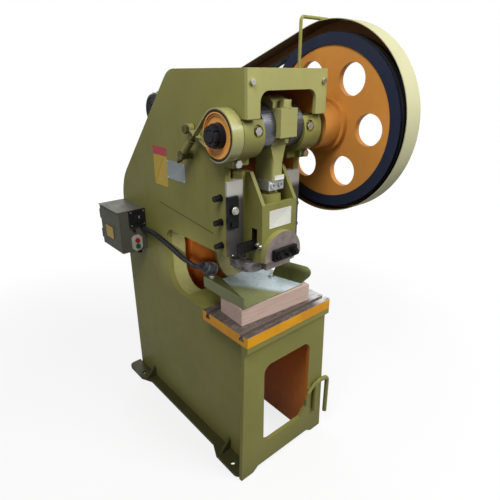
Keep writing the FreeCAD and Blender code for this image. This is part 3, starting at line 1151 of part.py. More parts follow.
# ---------------------------------------------------------------- guard supports
post_x = d.wall_half + d.post_off
post_shift = d.post_y - guard_centre[0]
crown = derive("crown", (d.guard_round * d.guard_round - post_shift * post_shift).root())
arm_z = guard_centre[1] + crown + d.support_rod + d.fit_gap
post = round_bar(d.support_rod.value, [point(post_x, d.post_y, d.post_foot), point(post_x, d.post_y, arm_z),
                                       point(d.guard_left + d.post_reach, d.post_y, arm_z)], d.post_bend.value)
stay_z = d.rear_stay_z
stay_y = (d.rear_stay_y, d.rear_stay_y + d.stay_wide)
outline = racetrack("guard_out", guard_centre, motor_centre, d.guard_round, d.guard_small)
guard_runs = prism("guard_runs", "yz", (d.guard_left, 0, 0), [outline], d.guard_wide)
keep(group("support_set", feature("support_post", post),
           cut("post_clip", box("post_clip_block", (d.wall_half, post_x + d.post_clip),
                                (d.post_y - d.post_clip, d.post_y + d.post_clip),
                                (d.post_foot, d.post_foot + d.post_clip_tall)),
               rod("post_clip_bore", "z", d.support_rod, (d.post_foot, d.post_foot + d.post_clip_tall),
                   (post_x, d.post_y))),
           fuse("rear_stay", cut("stay_shoe", box("stay_shoe_block", (d.guard_left, d.guard_left + d.stay_past),
                                                  stay_y, (stay_z, stay_z + d.stay_wide * 2)), guard_runs),
                box("stay_bar", (d.wall_half, d.guard_left + d.stay_past), stay_y,
                    (stay_z, stay_z + d.stay_thick)),
                box("stay_root", (d.wall_half, d.wall_half + d.stay_thick), stay_y,
                    (stay_z, stay_z + d.stay_wide * 2)))),
     "guard_supports")

# ---------------------------------------------------------------- control box
box_right = -d.wall_half
inside = (d.box_left, box_right - d.box_sheet)
box_outer = box("box_outer", (d.box_left, box_right), (d.box_front, d.box_back), (d.box_low, d.box_high))
shell = cut("box_shell", fuse("box_outer_raw", box_outer,
                              box("box_lip", (d.box_left - d.door_thick - d.box_lip, d.box_left),
                                  (d.box_front, d.box_back), (d.box_high - d.box_sheet, d.box_high))),
            box("box_inside", inside, (d.box_front + d.box_sheet, d.box_back - d.box_sheet),
                (d.box_low + d.box_sheet, d.box_high - d.box_sheet)))
hinge_x = d.box_left - d.door_gap - d.door_thick / 2
hinge_y = d.box_back + d.hinge_round + d.door_gap
hinge_centre = (hinge_x, hinge_y)
door_low = d.box_low + d.box_sheet
door_high = d.box_high - d.box_sheet - d.door_gap
door_x = (d.box_left - d.door_gap - d.door_thick, d.box_left - d.door_gap)
leaves, knuckles = [], []
for i, z in enumerate((door_low + d.hinge_in, door_high - d.hinge_in - d.hinge_tall * 2)):
    lower = (z, z + d.hinge_tall - d.fit_gap)
    upper = (z + d.hinge_tall, z + d.hinge_tall * 2)
    knuckles += [rod("door_knuckle_%d" % i, "z", d.hinge_round, lower, hinge_centre),
                 box("door_leaf_%d" % i, (door_x[0], hinge_x), (d.box_back - d.door_gap, hinge_y), lower)]
    leaves += [rod("box_knuckle_%d" % i, "z", d.hinge_round, upper, hinge_centre),
               box("box_leaf_%d" % i, (hinge_x, d.box_left + d.hinge_in), (d.box_back, hinge_y), upper)]
keep(fuse("box_with_leaves", shell, *leaves), "control_box")
door = fuse("door_with_knuckles", box("door_sheet", door_x, (d.box_front, d.box_back - d.door_gap),
                                       (door_low, door_high)),
            *knuckles)
keep(door, "control_box_door")

switch_right = box_right - d.fit_gap
switch_x = (switch_right - d.switch_side, switch_right)
switch_z = (d.box_high - d.switch_side, d.box_high)
switch_face = d.box_front - d.switch_thick
knob_centre = ((switch_x[0] + switch_x[1]) / 2, (switch_z[0] + switch_z[1]) / 2)
pilot_centre = (d.box_left + d.pilot_in, switch_z[0] - d.pilot_down)
keep(group("switch_group", box("switch_block", switch_x, (switch_face, d.box_front), switch_z),
           rod("pilot_cap", "y", d.pilot_round, (d.box_front - d.pilot_out, d.box_front), pilot_centre)),
     "switch_plate")
knob_y = (switch_face - d.knob_tall, switch_face - d.fit_gap)
knob_disc = rod("knob_round", "y", d.knob_round, (knob_y[0] + d.knob_tall / 2, knob_y[1]), knob_centre)
keep(fuse("knob_raw", knob_disc,
          box("knob_grip", (knob_centre[0] - d.knob_grip, knob_centre[0] + d.knob_grip), knob_y,
              (knob_centre[1] - d.knob_round, knob_centre[1] + d.knob_round))), "switch_knob")

button_mid = (d.box_left + d.button_in, d.box_low + d.button_up)
button_face = d.box_front - d.button_plate
half, tall, nip = d.button_half, d.button_tall, d.button_nip
button_plate = body_of("button_plate")
pad(button_plate, "button_sheet", "xz", (button_mid[0], d.box_front, button_mid[1]), [
    [(-nip, -tall), (nip, -tall), (half, -tall + half - nip), (half, tall - half + nip), (nip, tall),
     (-nip, tall), (-half, tall - half + nip), (-half, -tall + half - nip)],
    ((size(0), d.button_step), d.button_round + d.fit_gap),
    ((size(0), -d.button_step), d.button_round + d.fit_gap)], d.button_plate)
for name, way in (("stop_button", 1), ("start_button", -1)):
    keep(rod(name + "_cap", "y", d.button_round,
             (button_face - d.button_out, d.box_front - d.button_play),
             (button_mid[0], button_mid[1] + d.button_step * way)), name)
keep(fuse("gland_raw", rod("gland_body", "z", d.gland_round, (d.box_low - d.gland_long, d.box_low),
                           (d.gland_x, d.box_front + d.gland_in)),
          hexagon("gland_hex", "z", d.gland_round * 2.2, (d.box_low - d.gland_long / 2, d.box_low),
                  (d.gland_x, d.box_front + d.gland_in))), "cable_gland")

# ---------------------------------------------------------------- work lamp
lamp_x = -d.wall_half - d.lamp_off
lamp_aim = point(-d.wall_half + d.lamp_in, d.lamp_aim_y, d.lamp_aim_z)
lamp_tip = point(-d.wall_half + d.lamp_in, d.lamp_tip_y, d.lamp_tip_z)
lamp_way = (lamp_aim - lamp_tip).normalize()
lamp_points = [point(lamp_x, d.box_front, d.lamp_root_z), point(lamp_x, d.box_front - 44, d.lamp_root_z),
               point(lamp_x - 3, d.box_front - 110, d.lamp_root_z + 5), point(lamp_x - 5, 96, 888),
               point(lamp_x - 6, 10, 872), point(lamp_x - 3, -58, 852), lamp_tip - lamp_way * 42, lamp_tip]
lamp_runs = [(b - a).Length for a, b in zip(lamp_points, lamp_points[1:])]
lamp_edges = []
start = lamp_points[0]
for i in range(1, len(lamp_points) - 1):
    before = (lamp_points[i - 1] - lamp_points[i]).normalize()
    after = (lamp_points[i + 1] - lamp_points[i]).normalize()
    turn = math.pi - before.getAngle(after)
    cut_back = 0.45 * min(lamp_runs[i - 1], lamp_runs[i])
    bend = cut_back / math.tan(turn / 2)
    first, last = lamp_points[i] + before * cut_back, lamp_points[i] + after * cut_back
    middle = lamp_points[i] + (before + after).normalize() * (bend / math.cos(turn / 2) - bend)
    lamp_edges.append(Part.LineSegment(start, first).toShape())
    lamp_edges.append(Part.Arc(first, middle, last).toShape())
    start = last
    print("lamp arm bend %d: radius %.0f mm" % (i, bend))
lamp_edges.append(Part.LineSegment(start, lamp_points[-1]).toShape())
lamp_path = Part.Wire(lamp_edges)


def path_frame(distance):
    """The point and direction on the lamp's path at a distance from its root."""
    for edge in lamp_edges:
        if distance <= edge.Length or edge is lamp_edges[-1]:
            place = edge.getParameterByLength(min(distance, edge.Length))
            return edge.valueAt(place), edge.tangentAt(place)
        distance -= edge.Length


def rib_ring(distance, radius):
    centre, heading = path_frame(distance)
    axis = Vector(1, 0, 0) - heading * heading.x
    circle = Part.Circle(centre, heading, radius)
    circle.XAxis = axis.normalize()
    return Part.Wire(circle.toShape())


arm_round = d.arm_round.value
groove_round = arm_round - d.arm_rib_deep.value
end_plain = 2 * arm_round
rib_count = int(d.arm_ribs.value)
rib_pitch = (lamp_path.Length - 2 * end_plain) / rib_count
rings = [rib_ring(0, arm_round)]
for i in range(rib_count):
    base = end_plain + i * rib_pitch
    rings += [rib_ring(base, arm_round), rib_ring(base + rib_pitch * 0.15, groove_round),
              rib_ring(base + rib_pitch * 0.5, groove_round), rib_ring(base + rib_pitch * 0.65, arm_round)]
rings.append(rib_ring(lamp_path.Length, arm_round))
arm = Part.makeLoft(rings, True, True)
hollow_ring = Part.Wire(Part.makeCircle(d.arm_bore.value, lamp_points[0], lamp_points[1] - lamp_points[0]))
arm = arm.cut(lamp_path.makePipeShell([hollow_ring], True, False))
keep(feature("lamp_arm_hose", arm), "lamp_arm")

profile = [(0.3, 0), (0.3, d.lamp_collar.value), (d.lamp_neck.value, d.lamp_collar.value),
           (d.lamp_neck.value, d.lamp_collar.value * 0.85), (d.lamp_long.value, d.lamp_mouth.value),
           (d.lamp_long.value, d.lamp_mouth.value - d.lamp_sheet.value),
           (d.lamp_long.value - 6, d.lamp_mouth.value - d.lamp_sheet.value - 1), (d.lamp_long.value - 6, 0)]
outline = Part.makePolygon([Vector(r, 0, along) for along, r in profile + profile[:1]])
bell = Part.Face(outline).revolve(Vector(), Vector(0, 0, 1), 360)
bell_piece = feature("lamp_bell", bell)
bell_piece.Placement = Placement(lamp_tip, Rotation(Vector(0, 0, 1), lamp_way))
keep(bell_piece, "lamp_head")

# ---------------------------------------------------------------- small pieces at the front
fork_y = d.base_front - d.fork_bar - d.fit_gap
fork = round_bar(d.fork_bar.value, [
    point(d.fork_left, fork_y, d.fork_left_low), point(d.fork_left, fork_y, d.fork_top),
    point(d.fork_right, fork_y, d.fork_top - d.fork_fall), point(d.fork_right, fork_y, d.fork_right_low)],
    d.fork_bend.value)
brace_radius = d.fork_bar.value * 0.8
brace_start = point(d.window_right - d.fork_brace_in, fork_y, d.fork_top - d.fork_brace_down)
brace_run = point(d.fork_left, fork_y, d.fork_top - d.fork_brace_drop) - brace_start
brace = slanted(brace_radius, brace_start, Vector(brace_run).normalize(), brace_run.Length)
stub_start = point(d.window_right + d.fork_stub_in, fork_y, d.fork_top - d.fork_brace_down + d.fork_stub_up)
stub = slanted(brace_radius, stub_start, Vector(0, 1, 0), d.fork_bar.value + d.fit_gap.value)
fork_feature = fork.fuse(brace).fuse(stub)
keep(feature("fork_bar", fork_feature.removeSplitter()), "pedal_fork")

wood = doc.addObject("Part::Box", "wood_raw")
bind(wood, "Length", d.wood_long)
bind(wood, "Width", d.wood_deep)
bind(wood, "Height", d.wood_high)
wood.Placement = Placement(Vector(), Rotation(Vector(0, 0, 1), -3.9))
seat(wood, (d.wood_x, d.wood_y, table_top))
keep(wood, "wood_block")

wood_top = table_top + d.wood_high
floor_top = wood_top + d.tray_sheet
tray = doc.addObject("PartDesign::Body", "tray_body")
pad(tray, "tray_floor", "xy", (0, 0, wood_top), [
    [(d.tray_left, d.tray_front), (d.tray_right, d.tray_front), (d.tray_right, d.tray_back),
     (d.tray_left, d.tray_back)]], d.tray_sheet)
pad(tray, "tray_wall_sheet", "yz", (d.tray_left, 0, 0), [
    [(d.tray_front, wood_top), (d.tray_back, wood_top), (d.tray_back, wood_top + d.tray_wall),
     (d.tray_front, wood_top + d.tray_wall)]], d.tray_sheet)
pad(tray, "tray_wall_lip", "xy", (0, 0, wood_top + d.tray_wall - d.tray_sheet), [
    [(d.tray_left, d.tray_front), (d.tray_left + d.tray_lip, d.tray_back - d.tray_lip_run),
     (d.tray_left + d.tray_lip, d.tray_back), (d.tray_left, d.tray_back)]], d.tray_sheet)
# the guide plate leans outwards at 45 degrees from its foot line on the tray
guide_rear = point(d.guide_rear_x, d.guide_rear_y, floor_top)
guide_front = point(d.guide_front_x, d.guide_front_y, floor_top)
along = (guide_front - guide_rear).normalize()
rise = (Vector(-along.y, along.x, 0) + Vector(0, 0, 1)).normalize()
nose = guide_front + along * d.guide_nose_past.value + rise * d.guide_nose_up.value
guide_top = rise * d.guide_high.value
corners = [guide_rear, guide_front, nose, guide_front + guide_top, guide_rear + guide_top]
guide = Part.Face(Part.makePolygon(corners + corners[:1])).extrude(rise.cross(along) * d.tray_sheet.value)
rounded = [edge for edge in guide.Edges
           if abs(edge.Length - d.tray_sheet.value) < 0.01
           and min(edge.distToShape(Part.Vertex(corner))[0] for corner in corners[2:4]) < 0.01]
guide = guide.makeFillet(d.guide_nose_round.value, rounded)
keep(feature("tray_shape", tray.Shape.fuse(guide).removeSplitter()), "feed_tray")

# ---------------------------------------------------------------- check and write
doc.recompute()
for item in doc.Objects:
    if "Invalid" in item.State or "Error" in item.State:
        raise ValueError("%s failed: %s" % (item.Name, item.State))
labels = [item.Label for item in pieces]
if len(set(labels)) != len(labels) or len(labels) > 60:
    raise ValueError("%d pieces, or a name used twice" % len(labels))
for item in pieces:
    if item.Shape.isNull() or not item.Shape.isValid() or item.Shape.Volume < 1:
        raise ValueError("%s has no valid shape" % item.Label)
os.makedirs("parts", exist_ok=True)
for item in pieces:
    item.Shape.exportStep("parts/%s.step" % item.Label)
print("%d pieces written" % len(pieces))
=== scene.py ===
"""Dresses the crank press: paint, machined steel, wear, and the small fittings that the solids leave out.
Lengths are in metres and places in the press's own frame: X to the right, Y to the rear, Z up."""
import math

import bmesh
import bpy
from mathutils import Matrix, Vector


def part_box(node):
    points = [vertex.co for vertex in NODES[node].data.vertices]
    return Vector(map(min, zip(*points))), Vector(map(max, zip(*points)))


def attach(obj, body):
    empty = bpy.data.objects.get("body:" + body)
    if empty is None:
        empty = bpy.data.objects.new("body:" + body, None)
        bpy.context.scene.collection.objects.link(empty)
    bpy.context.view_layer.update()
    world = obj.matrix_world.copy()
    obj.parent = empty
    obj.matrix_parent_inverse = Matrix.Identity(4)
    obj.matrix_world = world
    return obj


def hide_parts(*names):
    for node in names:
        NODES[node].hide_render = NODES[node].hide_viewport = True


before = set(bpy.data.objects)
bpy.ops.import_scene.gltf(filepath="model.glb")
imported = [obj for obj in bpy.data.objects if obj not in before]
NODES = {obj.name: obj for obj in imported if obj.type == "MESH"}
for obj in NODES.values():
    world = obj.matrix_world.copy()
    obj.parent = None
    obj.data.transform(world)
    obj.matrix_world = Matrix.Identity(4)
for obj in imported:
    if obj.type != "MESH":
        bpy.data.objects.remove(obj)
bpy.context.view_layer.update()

# ---------------------------------------------------------------- camera
# solved from the frame's edges in the photograph
EYE = Vector((-1.0398, -1.4604, 1.5544))
HEADING, DIP = math.radians(40.76), math.radians(22.47)
PICTURE_WIDTH, FOCAL_PIXELS = 500, 427.3
FILM_WIDTH, FARTHEST = 36, 40

bpy.ops.object.camera_add(location=EYE, rotation=(math.pi / 2 - DIP, 0, -HEADING))
camera = bpy.context.object
camera.name = "photo_camera"
camera.data.sensor_width = FILM_WIDTH
camera.data.lens = FILM_WIDTH * FOCAL_PIXELS / PICTURE_WIDTH
camera.data.clip_end = FARTHEST
bpy.context.scene.camera = camera
bpy.context.scene.view_settings.view_transform = "Standard"


# ---------------------------------------------------------------- colours
def shade(red, green, blue):
    """A colour as a screen shows it, turned by the sRGB curve into the linear one that shaders use."""
    def linear(level):
        level /= 255
        return level / 12.92 if level <= 0.04045 else ((level + 0.055) / 1.055) ** 2.4
    return (linear(red), linear(green), linear(blue), 1)


OLIVE = shade(136, 133, 72)
OLIVE_PALE = shade(158, 155, 98)
OLIVE_DEEP = shade(78, 78, 42)
PRIMER = shade(222, 134, 56)
PRIMER_DEEP = shade(168, 88, 46)
MAROON = shade(158, 84, 52)
ORANGE = shade(216, 146, 68)
NAVY = shade(38, 44, 66)
# The guard's cream is paler than its olive paint, standing in for the light on its outside.
GUARD_CREAM_LIT = shade(186, 184, 146)
GRIME = shade(46, 42, 26)
OIL = shade(58, 52, 44)
RUST = shade(120, 78, 46)
DUST = shade(120, 116, 104)
STEEL = shade(168, 168, 166)
STEEL_DARK = shade(92, 90, 86)
CARD_WHITE = shade(214, 214, 204)
CARD_YELLOW = shade(190, 158, 44)
CARD_RED = shade(176, 50, 62)
CARD_SILVER = shade(146, 154, 158)
DARKER = (0.02, 0.02, 0.01, 1)
PALER = (0.75, 0.75, 0.6, 1)
WHITE = (1, 1, 1, 1)


# ---------------------------------------------------------------- wiring of materials
class Wiring:
    """Adds nodes to one tree and links them, step by step."""

    def __init__(self, tree):
        self.tree = tree

    def put(self, node, socket, value):
        """Sets a socket to a plain value, or links it to another node's output."""
        if isinstance(value, bpy.types.NodeSocket):
            self.tree.links.new(value, node.inputs[socket])
        elif value is not None:
            node.inputs[socket].default_value = value

    def step(self, kind, sockets=(), **settings):
        """Adds a node of a kind, sets it up, and fills its sockets, given by name or number."""
        node = self.tree.nodes.new("ShaderNode" + kind)
        for setting, value in settings.items():
            setattr(node, setting, value)
        for socket, value in dict(sockets).items():
            self.put(node, socket, value)
        return node

    def maths(self, operation, *values, clamp=False):
        return self.step("Math", enumerate(values), operation=operation, use_clamp=clamp).outputs[0]

    def looked_at(self):
        """1 for what the camera sees, straight or through glass, and less for what it sees mirrored."""
        mirrored = 0.6
        rays = self.step("LightPath").outputs
        direct = self.maths("MAXIMUM", rays["Is Camera Ray"], rays["Is Transmission Ray"])
        return self.maths("MAXIMUM", direct, self.maths("MULTIPLY", rays["Is Glossy Ray"], mirrored))


class Finish(Wiring):
    """One surface finish, which reads the object's own coordinates."""

    def __init__(self, name, roughness=0.5, metallic=0.0, coat=0.0, shine=0.5):
        self.material = bpy.data.materials.new(name)
        self.material.use_nodes = True
        super().__init__(self.material.node_tree)
        self.tree.nodes.clear()
        self.shader = self.step("BsdfPrincipled", {"Roughness": roughness, "Metallic": metallic,
                                                   "Coat Weight": coat, "Specular IOR Level": shine})
        self.step("OutputMaterial", {0: self.shader.outputs[0]})
        self.place = self.step("TexCoord").outputs["Object"]
        self.facing = self.step("NewGeometry").outputs["Normal"]

    def scaled(self, signal, factor):
        return self.maths("MULTIPLY", signal, factor)

    def both(self, *masks):
        """1 where all of the masks are."""
        result = masks[0]
        for mask in masks[1:]:
            result = self.maths("MULTIPLY", result, mask)
        return result

    def either(self, *masks):
        """1 where any of the masks is."""
        result = masks[0]
        for mask in masks[1:]:
            result = self.maths("MAXIMUM", result, mask)
        return result

    def axis(self, source, letter):
        """One coordinate of a place or a direction."""
        return self.step("SeparateXYZ", {0: source}).outputs["XYZ".index(letter)]

    def where(self, letter, above=None, below=None):
        """1 where the place along an axis lies above one limit, below another, or between both."""
        limits = (("GREATER_THAN", above), ("LESS_THAN", below))
        return self.both(*[self.maths(test, self.axis(self.place, letter), limit)
                           for test, limit in limits if limit is not None])

    def faces(self, letter, sign=1):
        """1 where the surface faces within 53 degrees of an axis."""
        least = 0.6
        return self.maths("GREATER_THAN", self.scaled(self.axis(self.facing, letter), sign), least)

    def slope(self, letter):
        """How squarely the surface faces along an axis, either way, from 0 to 1."""
        return self.maths("ABSOLUTE", self.axis(self.facing, letter))

    def vector(self, operation, first, second=None):
        """The outputs of a step of vector maths: its vector first, and its number under "Value"."""
        return self.step("VectorMath", {0: first, 1: second}, operation=operation).outputs

    def distance_from(self, centre, squeeze=(0, 1, 1)):
        """How far a place is from an axis through centre; squeeze is 0 along that axis."""
        flat = self.vector("MULTIPLY", self.vector("SUBTRACT", self.place, centre)[0], squeeze)[0]
        return self.vector("LENGTH", flat)["Value"]

    def noise(self, scale, detail=4, roughness=0.55, stretch=None):
        """A cloudy signal; a stretch factor below 1 draws it out along that axis, one above 1 packs it."""
        place = self.place
        if stretch:
            place = self.step("Mapping", {"Vector": place, "Scale": stretch}).outputs[0]
        return self.step("TexNoise", {"Vector": place, "Scale": scale, "Detail": detail,
                                      "Roughness": roughness}).outputs[0]

    def spread(self, source, low, high, least=0.0, most=1.0):
        """Stretches the part of a signal between two levels over a new range."""
        return self.step("MapRange", {"Value": source, "From Min": low, "From Max": high, "To Min": least,
                                      "To Max": most}, interpolation_type="SMOOTHSTEP").outputs[0]

    def blend(self, factor, first, second, kind="MIX"):
        """Goes from the first colour to the second as the factor rises."""
        mix = self.step("Mix", data_type="RGBA", blend_type=kind)
        for socket, value in ((0, factor), (6, first), (7, second)):
            self.put(mix, socket, value)
        return mix.outputs[2]

    def edges(self, radius):
        """The normal as if each edge were rounded, and 1 near the edges."""
        starts, full = 0.98, 0.8       # cosines of the angle by which the rounding turns the normal
        rounded = self.step("Bevel", {"Radius": radius}, samples=4).outputs[0]
        turn = self.vector("DOT_PRODUCT", rounded, self.facing)["Value"]
        return rounded, self.spread(turn, starts, full)

    def relief(self, height, depth, normal):
        """Raises the surface by a signal."""
        bump = self.step("Bump", {"Height": height, "Distance": depth, "Strength": 1.0, "Normal": normal})
        self.put(self.shader, "Normal", bump.outputs[0])

    def look(self, colour, roughness=None, metallic=None):
        """Links the colour, and the roughness and metal where they change over the surface."""
        for socket, value in (("Base Color", colour), ("Roughness", roughness), ("Metallic", metallic)):
            self.put(self.shader, socket, value)


# ---------------------------------------------------------------- kinds of finish
def painted(name, colour, second=None, mask=None, roughness=0.42, grime=0.35, chips=0.5, peel=0.00012,
            coat=0.0, shine=0.14):
    """Sprayed enamel on steel: a slow drift in tone, orange peel, grime and rubbed edges.
    mask(finish) gives where the second colour shows."""
    f = Finish(name, coat=coat, shine=shine)
    if mask:
        colour = f.blend(mask(f), colour, second)
    drift = f.spread(f.noise(2.6, detail=3), 0.3, 0.7, most=0.16)
    tone = f.blend(drift, colour, DARKER)
    mottle = f.noise(38, detail=5, roughness=0.6)
    tone = f.blend(f.spread(mottle, 0.35, 0.7, most=0.10), tone, PALER, "SOFT_LIGHT")

    streaks = f.spread(f.noise(9, detail=6, roughness=0.65, stretch=(1, 1, 0.35)), 0.52, 0.78)
    patches = f.spread(f.noise(1.7, detail=2), 0.4, 0.7)
    splash_top = 0.16
    splashed = f.spread(f.axis(f.place, "Z"), splash_top, 0.0, most=0.6)
    dirt = f.maths("ADD", f.both(streaks, patches), splashed, clamp=True)
    tone = f.blend(f.scaled(dirt, grime), tone, GRIME)

    rounded, rim = f.edges(0.0016)
    rubbed = f.both(rim, f.spread(f.noise(52, detail=5, roughness=0.7), 0.50, 0.62))
    tone = f.blend(f.scaled(rubbed, chips), tone, STEEL_DARK)
    f.look(tone, f.spread(mottle, 0.3, 0.75, roughness - 0.06, roughness + 0.14))
    f.put(f.shader, "Coat Roughness", 0.18)
    f.relief(f.noise(230, detail=2, roughness=0.5), peel, rounded)
    return f.material


EVEN_GRAIN, GRAIN_ALONG_X, GRAIN_ALONG_Z, GRAIN_ACROSS_Z = (1, 1, 1), (1, 30, 30), (30, 30, 1), (1, 1, 40)


def machined(name, colour, roughness=0.28, grain=EVEN_GRAIN, scale=14, stains=0.45, second=None, mask=None,
             metallic=0.92):
    """Bare steel with tool marks drawn out along one way, oil stains and a few rust freckles.
    mask(finish) gives where the second colour, a paint, covers the steel."""
    f = Finish(name, metallic=metallic)
    marks = f.noise(scale, detail=6, roughness=0.7, stretch=grain)
    tone = f.blend(f.spread(marks, 0.3, 0.7, most=0.5), colour, STEEL_DARK)
    patches = f.spread(f.noise(3.1, detail=2), 0.3, 0.65)
    oil = f.both(f.spread(f.noise(11, detail=6, roughness=0.7), 0.46, 0.68), patches)
    tone = f.blend(f.scaled(oil, stains), tone, OIL)
    freckles = f.spread(f.noise(85), 0.68, 0.78, most=0.35)
    tone = f.blend(freckles, tone, RUST)
    bare = None
    if mask:
        paint = mask(f)
        tone = f.blend(paint, tone, second)
        bare = f.maths("SUBTRACT", metallic, f.scaled(paint, metallic))
    oily_marks = f.maths("ADD", marks, f.scaled(oil, 0.4))
    f.look(tone, f.spread(oily_marks, 0.3, 0.9, roughness, roughness + 0.25), bare)
    f.relief(marks, 0.00012, f.edges(0.0012)[0])
    return f.material


def plastic(name, colour, roughness=0.42, texture=0.00008):
    """Moulded plastic or rubber with a fine pebble and a little dust."""
    f = Finish(name, shine=0.25)
    dust = f.spread(f.noise(16, detail=5, roughness=0.65), 0.5, 0.8, most=0.12)
    handled = f.spread(f.noise(22, detail=3), 0.3, 0.7, roughness - 0.06, roughness + 0.12)
    f.look(f.blend(dust, colour, DUST), handled)
    pebble = f.noise(620, detail=2)
    f.relief(pebble, texture, f.edges(0.0009)[0])
    return f.material


def card(name, colour, second=None, mask=None):
    """Printed foil left bare, with smudges and faint scuffs."""
    f = Finish(name, roughness=0.45, shine=0.4)
    if mask:
        colour = f.blend(mask(f), colour, second)
    smudge = f.spread(f.noise(90, detail=6, roughness=0.7), 0.45, 0.8, most=0.2)
    tone = f.blend(smudge, colour, GRIME)
    scuffs = f.spread(f.noise(150, detail=3, roughness=0.6, stretch=(1, 1, 0.15)), 0.62, 0.7, most=0.35)
    f.look(f.blend(scuffs, tone, shade(190, 188, 178)))
    f.relief(f.noise(300, detail=2), 0.00005, f.edges(0.0006)[0])
    return f.material


# ---------------------------------------------------------------- where a second colour shows
def behind_back_plate(f):
    """The walls' strips outside the back plate, below its knee, round it and up its slope."""
    inset, knee_height, knee_round, eighth = 0.063, 1.072, 0.177, math.radians(22.5)
    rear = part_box("left_side_plate")[1][1]
    knee_y, knee_z = rear - inset, knee_height - inset * math.tan(eighth)
    corner_cut = knee_round * (1 / math.cos(eighth) - 1)
    result = f.where("Y", above=knee_y)
    for angle, cut in ((eighth, corner_cut), (2 * eighth, 0)):
        y, z = math.cos(angle), math.sin(angle)
        outward = f.maths("MULTIPLY_ADD", f.axis(f.place, "Z"), z, f.scaled(f.axis(f.place, "Y"), y))
        result = f.either(result, f.maths("GREATER_THAN", outward, knee_y * y + knee_z * z - cut))
    return result


def inside_wall(side):
    """The inner face of a side wall, which kept its primer as far as the back plate."""
    inner_face, squarely = 0.1538, 0.5

    def mask(f):
        flat = f.maths("GREATER_THAN", f.slope("X"), squarely)
        within = f.maths("SUBTRACT", 1.0, behind_back_plate(f))
        inner = f.where("X", above=-inner_face) if side < 0 else f.where("X", below=inner_face)
        return f.both(flat, within, inner)
    return mask


def window_rim(f):
    """Behind the front plate between the walls, and the edge round its window."""
    between_walls, plate_back, plate_front = 0.155, -0.4655, -0.4806
    behind = f.both(f.where("Y", above=plate_back), f.where("X", above=-between_walls, below=between_walls))
    window = f.both(f.where("X", above=-0.124, below=0.14), f.where("Z", above=0.2, below=0.52))
    return f.either(behind, f.both(f.where("Y", above=plate_front), window))


def bed_underside(f):
    """The bed's faces that look down into the base, behind the front plate."""
    bed_under, plate_back = 0.6135, -0.4640
    return f.both(f.where("Z", below=bed_under), f.where("Y", above=plate_back))


def away_from_back(f):
    """Everything but the faces that look to the rear and up."""
    rearward_and_up = f.maths("ADD", f.axis(f.facing, "Y"), f.axis(f.facing, "Z"))
    return f.maths("LESS_THAN", rearward_and_up, 0.5)


def guard_inside(f):
    """The guard's faces that look at the wheel."""
    guard_middle = (0.33, -0.2, 1.4)
    outward = f.vector("SUBTRACT", f.place, guard_middle)[0]
    return f.maths("LESS_THAN", f.vector("DOT_PRODUCT", outward, f.facing)["Value"], 0.0)


def wheel_rim(f):
    """The flywheel's rim, outside its web."""
    wheel_axis, rim_inside = (0, -0.354, 1.373), 0.2775
    return f.maths("GREATER_THAN", f.distance_from(wheel_axis), rim_inside)


def table_edges(f):
    """The table's three outer edges, painted yellow below the worn top."""
    half_width, front, top = 0.2244, -0.4994, 0.6945
    sides = f.either(f.where("X", below=-half_width), f.where("X", above=half_width))
    return f.both(f.either(sides, f.where("Y", below=front)), f.where("Z", below=top))


def slide_foot(f):
    """The slide's foot, bare and worn: below the paint line, and all of its two ends."""
    paint_line, foot_top, half_width = 0.9146, 0.955, 0.0865
    sides = f.either(f.where("X", below=-half_width), f.where("X", above=half_width))
    return f.either(f.where("Z", below=paint_line), f.both(sides, f.where("Z", below=foot_top)))


def slide_slot(f):
    """Inside the knock-out bar's slot."""
    return f.both(f.where("X", above=-0.0846, below=0.0846), f.where("Y", above=-0.3915, below=-0.3625),
                  f.where("Z", above=0.9615, below=1.0405))


def gib_upper(f):
    """The upper end of each gib, rubbed bright."""
    return f.spread(f.axis(f.place, "Z"), 1.145, 1.175)


def clamp_rim(f):
    """The shank clamp's round edge, which kept its paint."""
    clamp_back, squarely = -0.4182, 0.5
    return f.both(f.where("Y", below=clamp_back), f.maths("LESS_THAN", f.slope("Y"), squarely))


# ---------------------------------------------------------------- finishes for one piece each
def worn_slide():
    """Green enamel above the foot, bare mottled iron on it and dark oil in the slot."""
    f = Finish("slide_paint", coat=0.06, shine=0.25)
    drift = f.spread(f.noise(3.2, detail=3), 0.3, 0.7, most=0.2)
    tone = f.blend(drift, shade(130, 127, 66), OLIVE_DEEP)
    scratches = f.spread(f.noise(60, roughness=0.6, stretch=(1, 1, 0.08)), 0.6, 0.72, most=0.3)
    tone = f.blend(scratches, tone, OLIVE_PALE)
    grime_top, grime_full = 1.06, 0.93
    lower = f.spread(f.axis(f.place, "Z"), grime_top, grime_full, 0.2, 0.8)
    grime = f.both(f.spread(f.noise(12, detail=6, roughness=0.65), 0.48, 0.75), lower)
    tone = f.blend(grime, tone, GRIME)
    foot = slide_foot(f)
    mottle = f.spread(f.noise(48, detail=5, roughness=0.65), 0.35, 0.65)
    bare_iron = f.blend(mottle, shade(68, 66, 66), shade(128, 124, 122))
    tone = f.blend(foot, tone, bare_iron)
    tone = f.blend(slide_slot(f), tone, shade(34, 32, 28))
    rounded, rim = f.edges(0.0018)
    rubbed = f.both(rim, f.spread(f.noise(50, detail=5, roughness=0.7), 0.45, 0.6, most=0.6))
    f.look(f.blend(rubbed, tone, STEEL), f.spread(f.noise(30), 0.3, 0.7, 0.36, 0.56), f.scaled(foot, 0.35))
    f.relief(f.noise(210, detail=2, roughness=0.5), 0.00012, rounded)
    return f.material


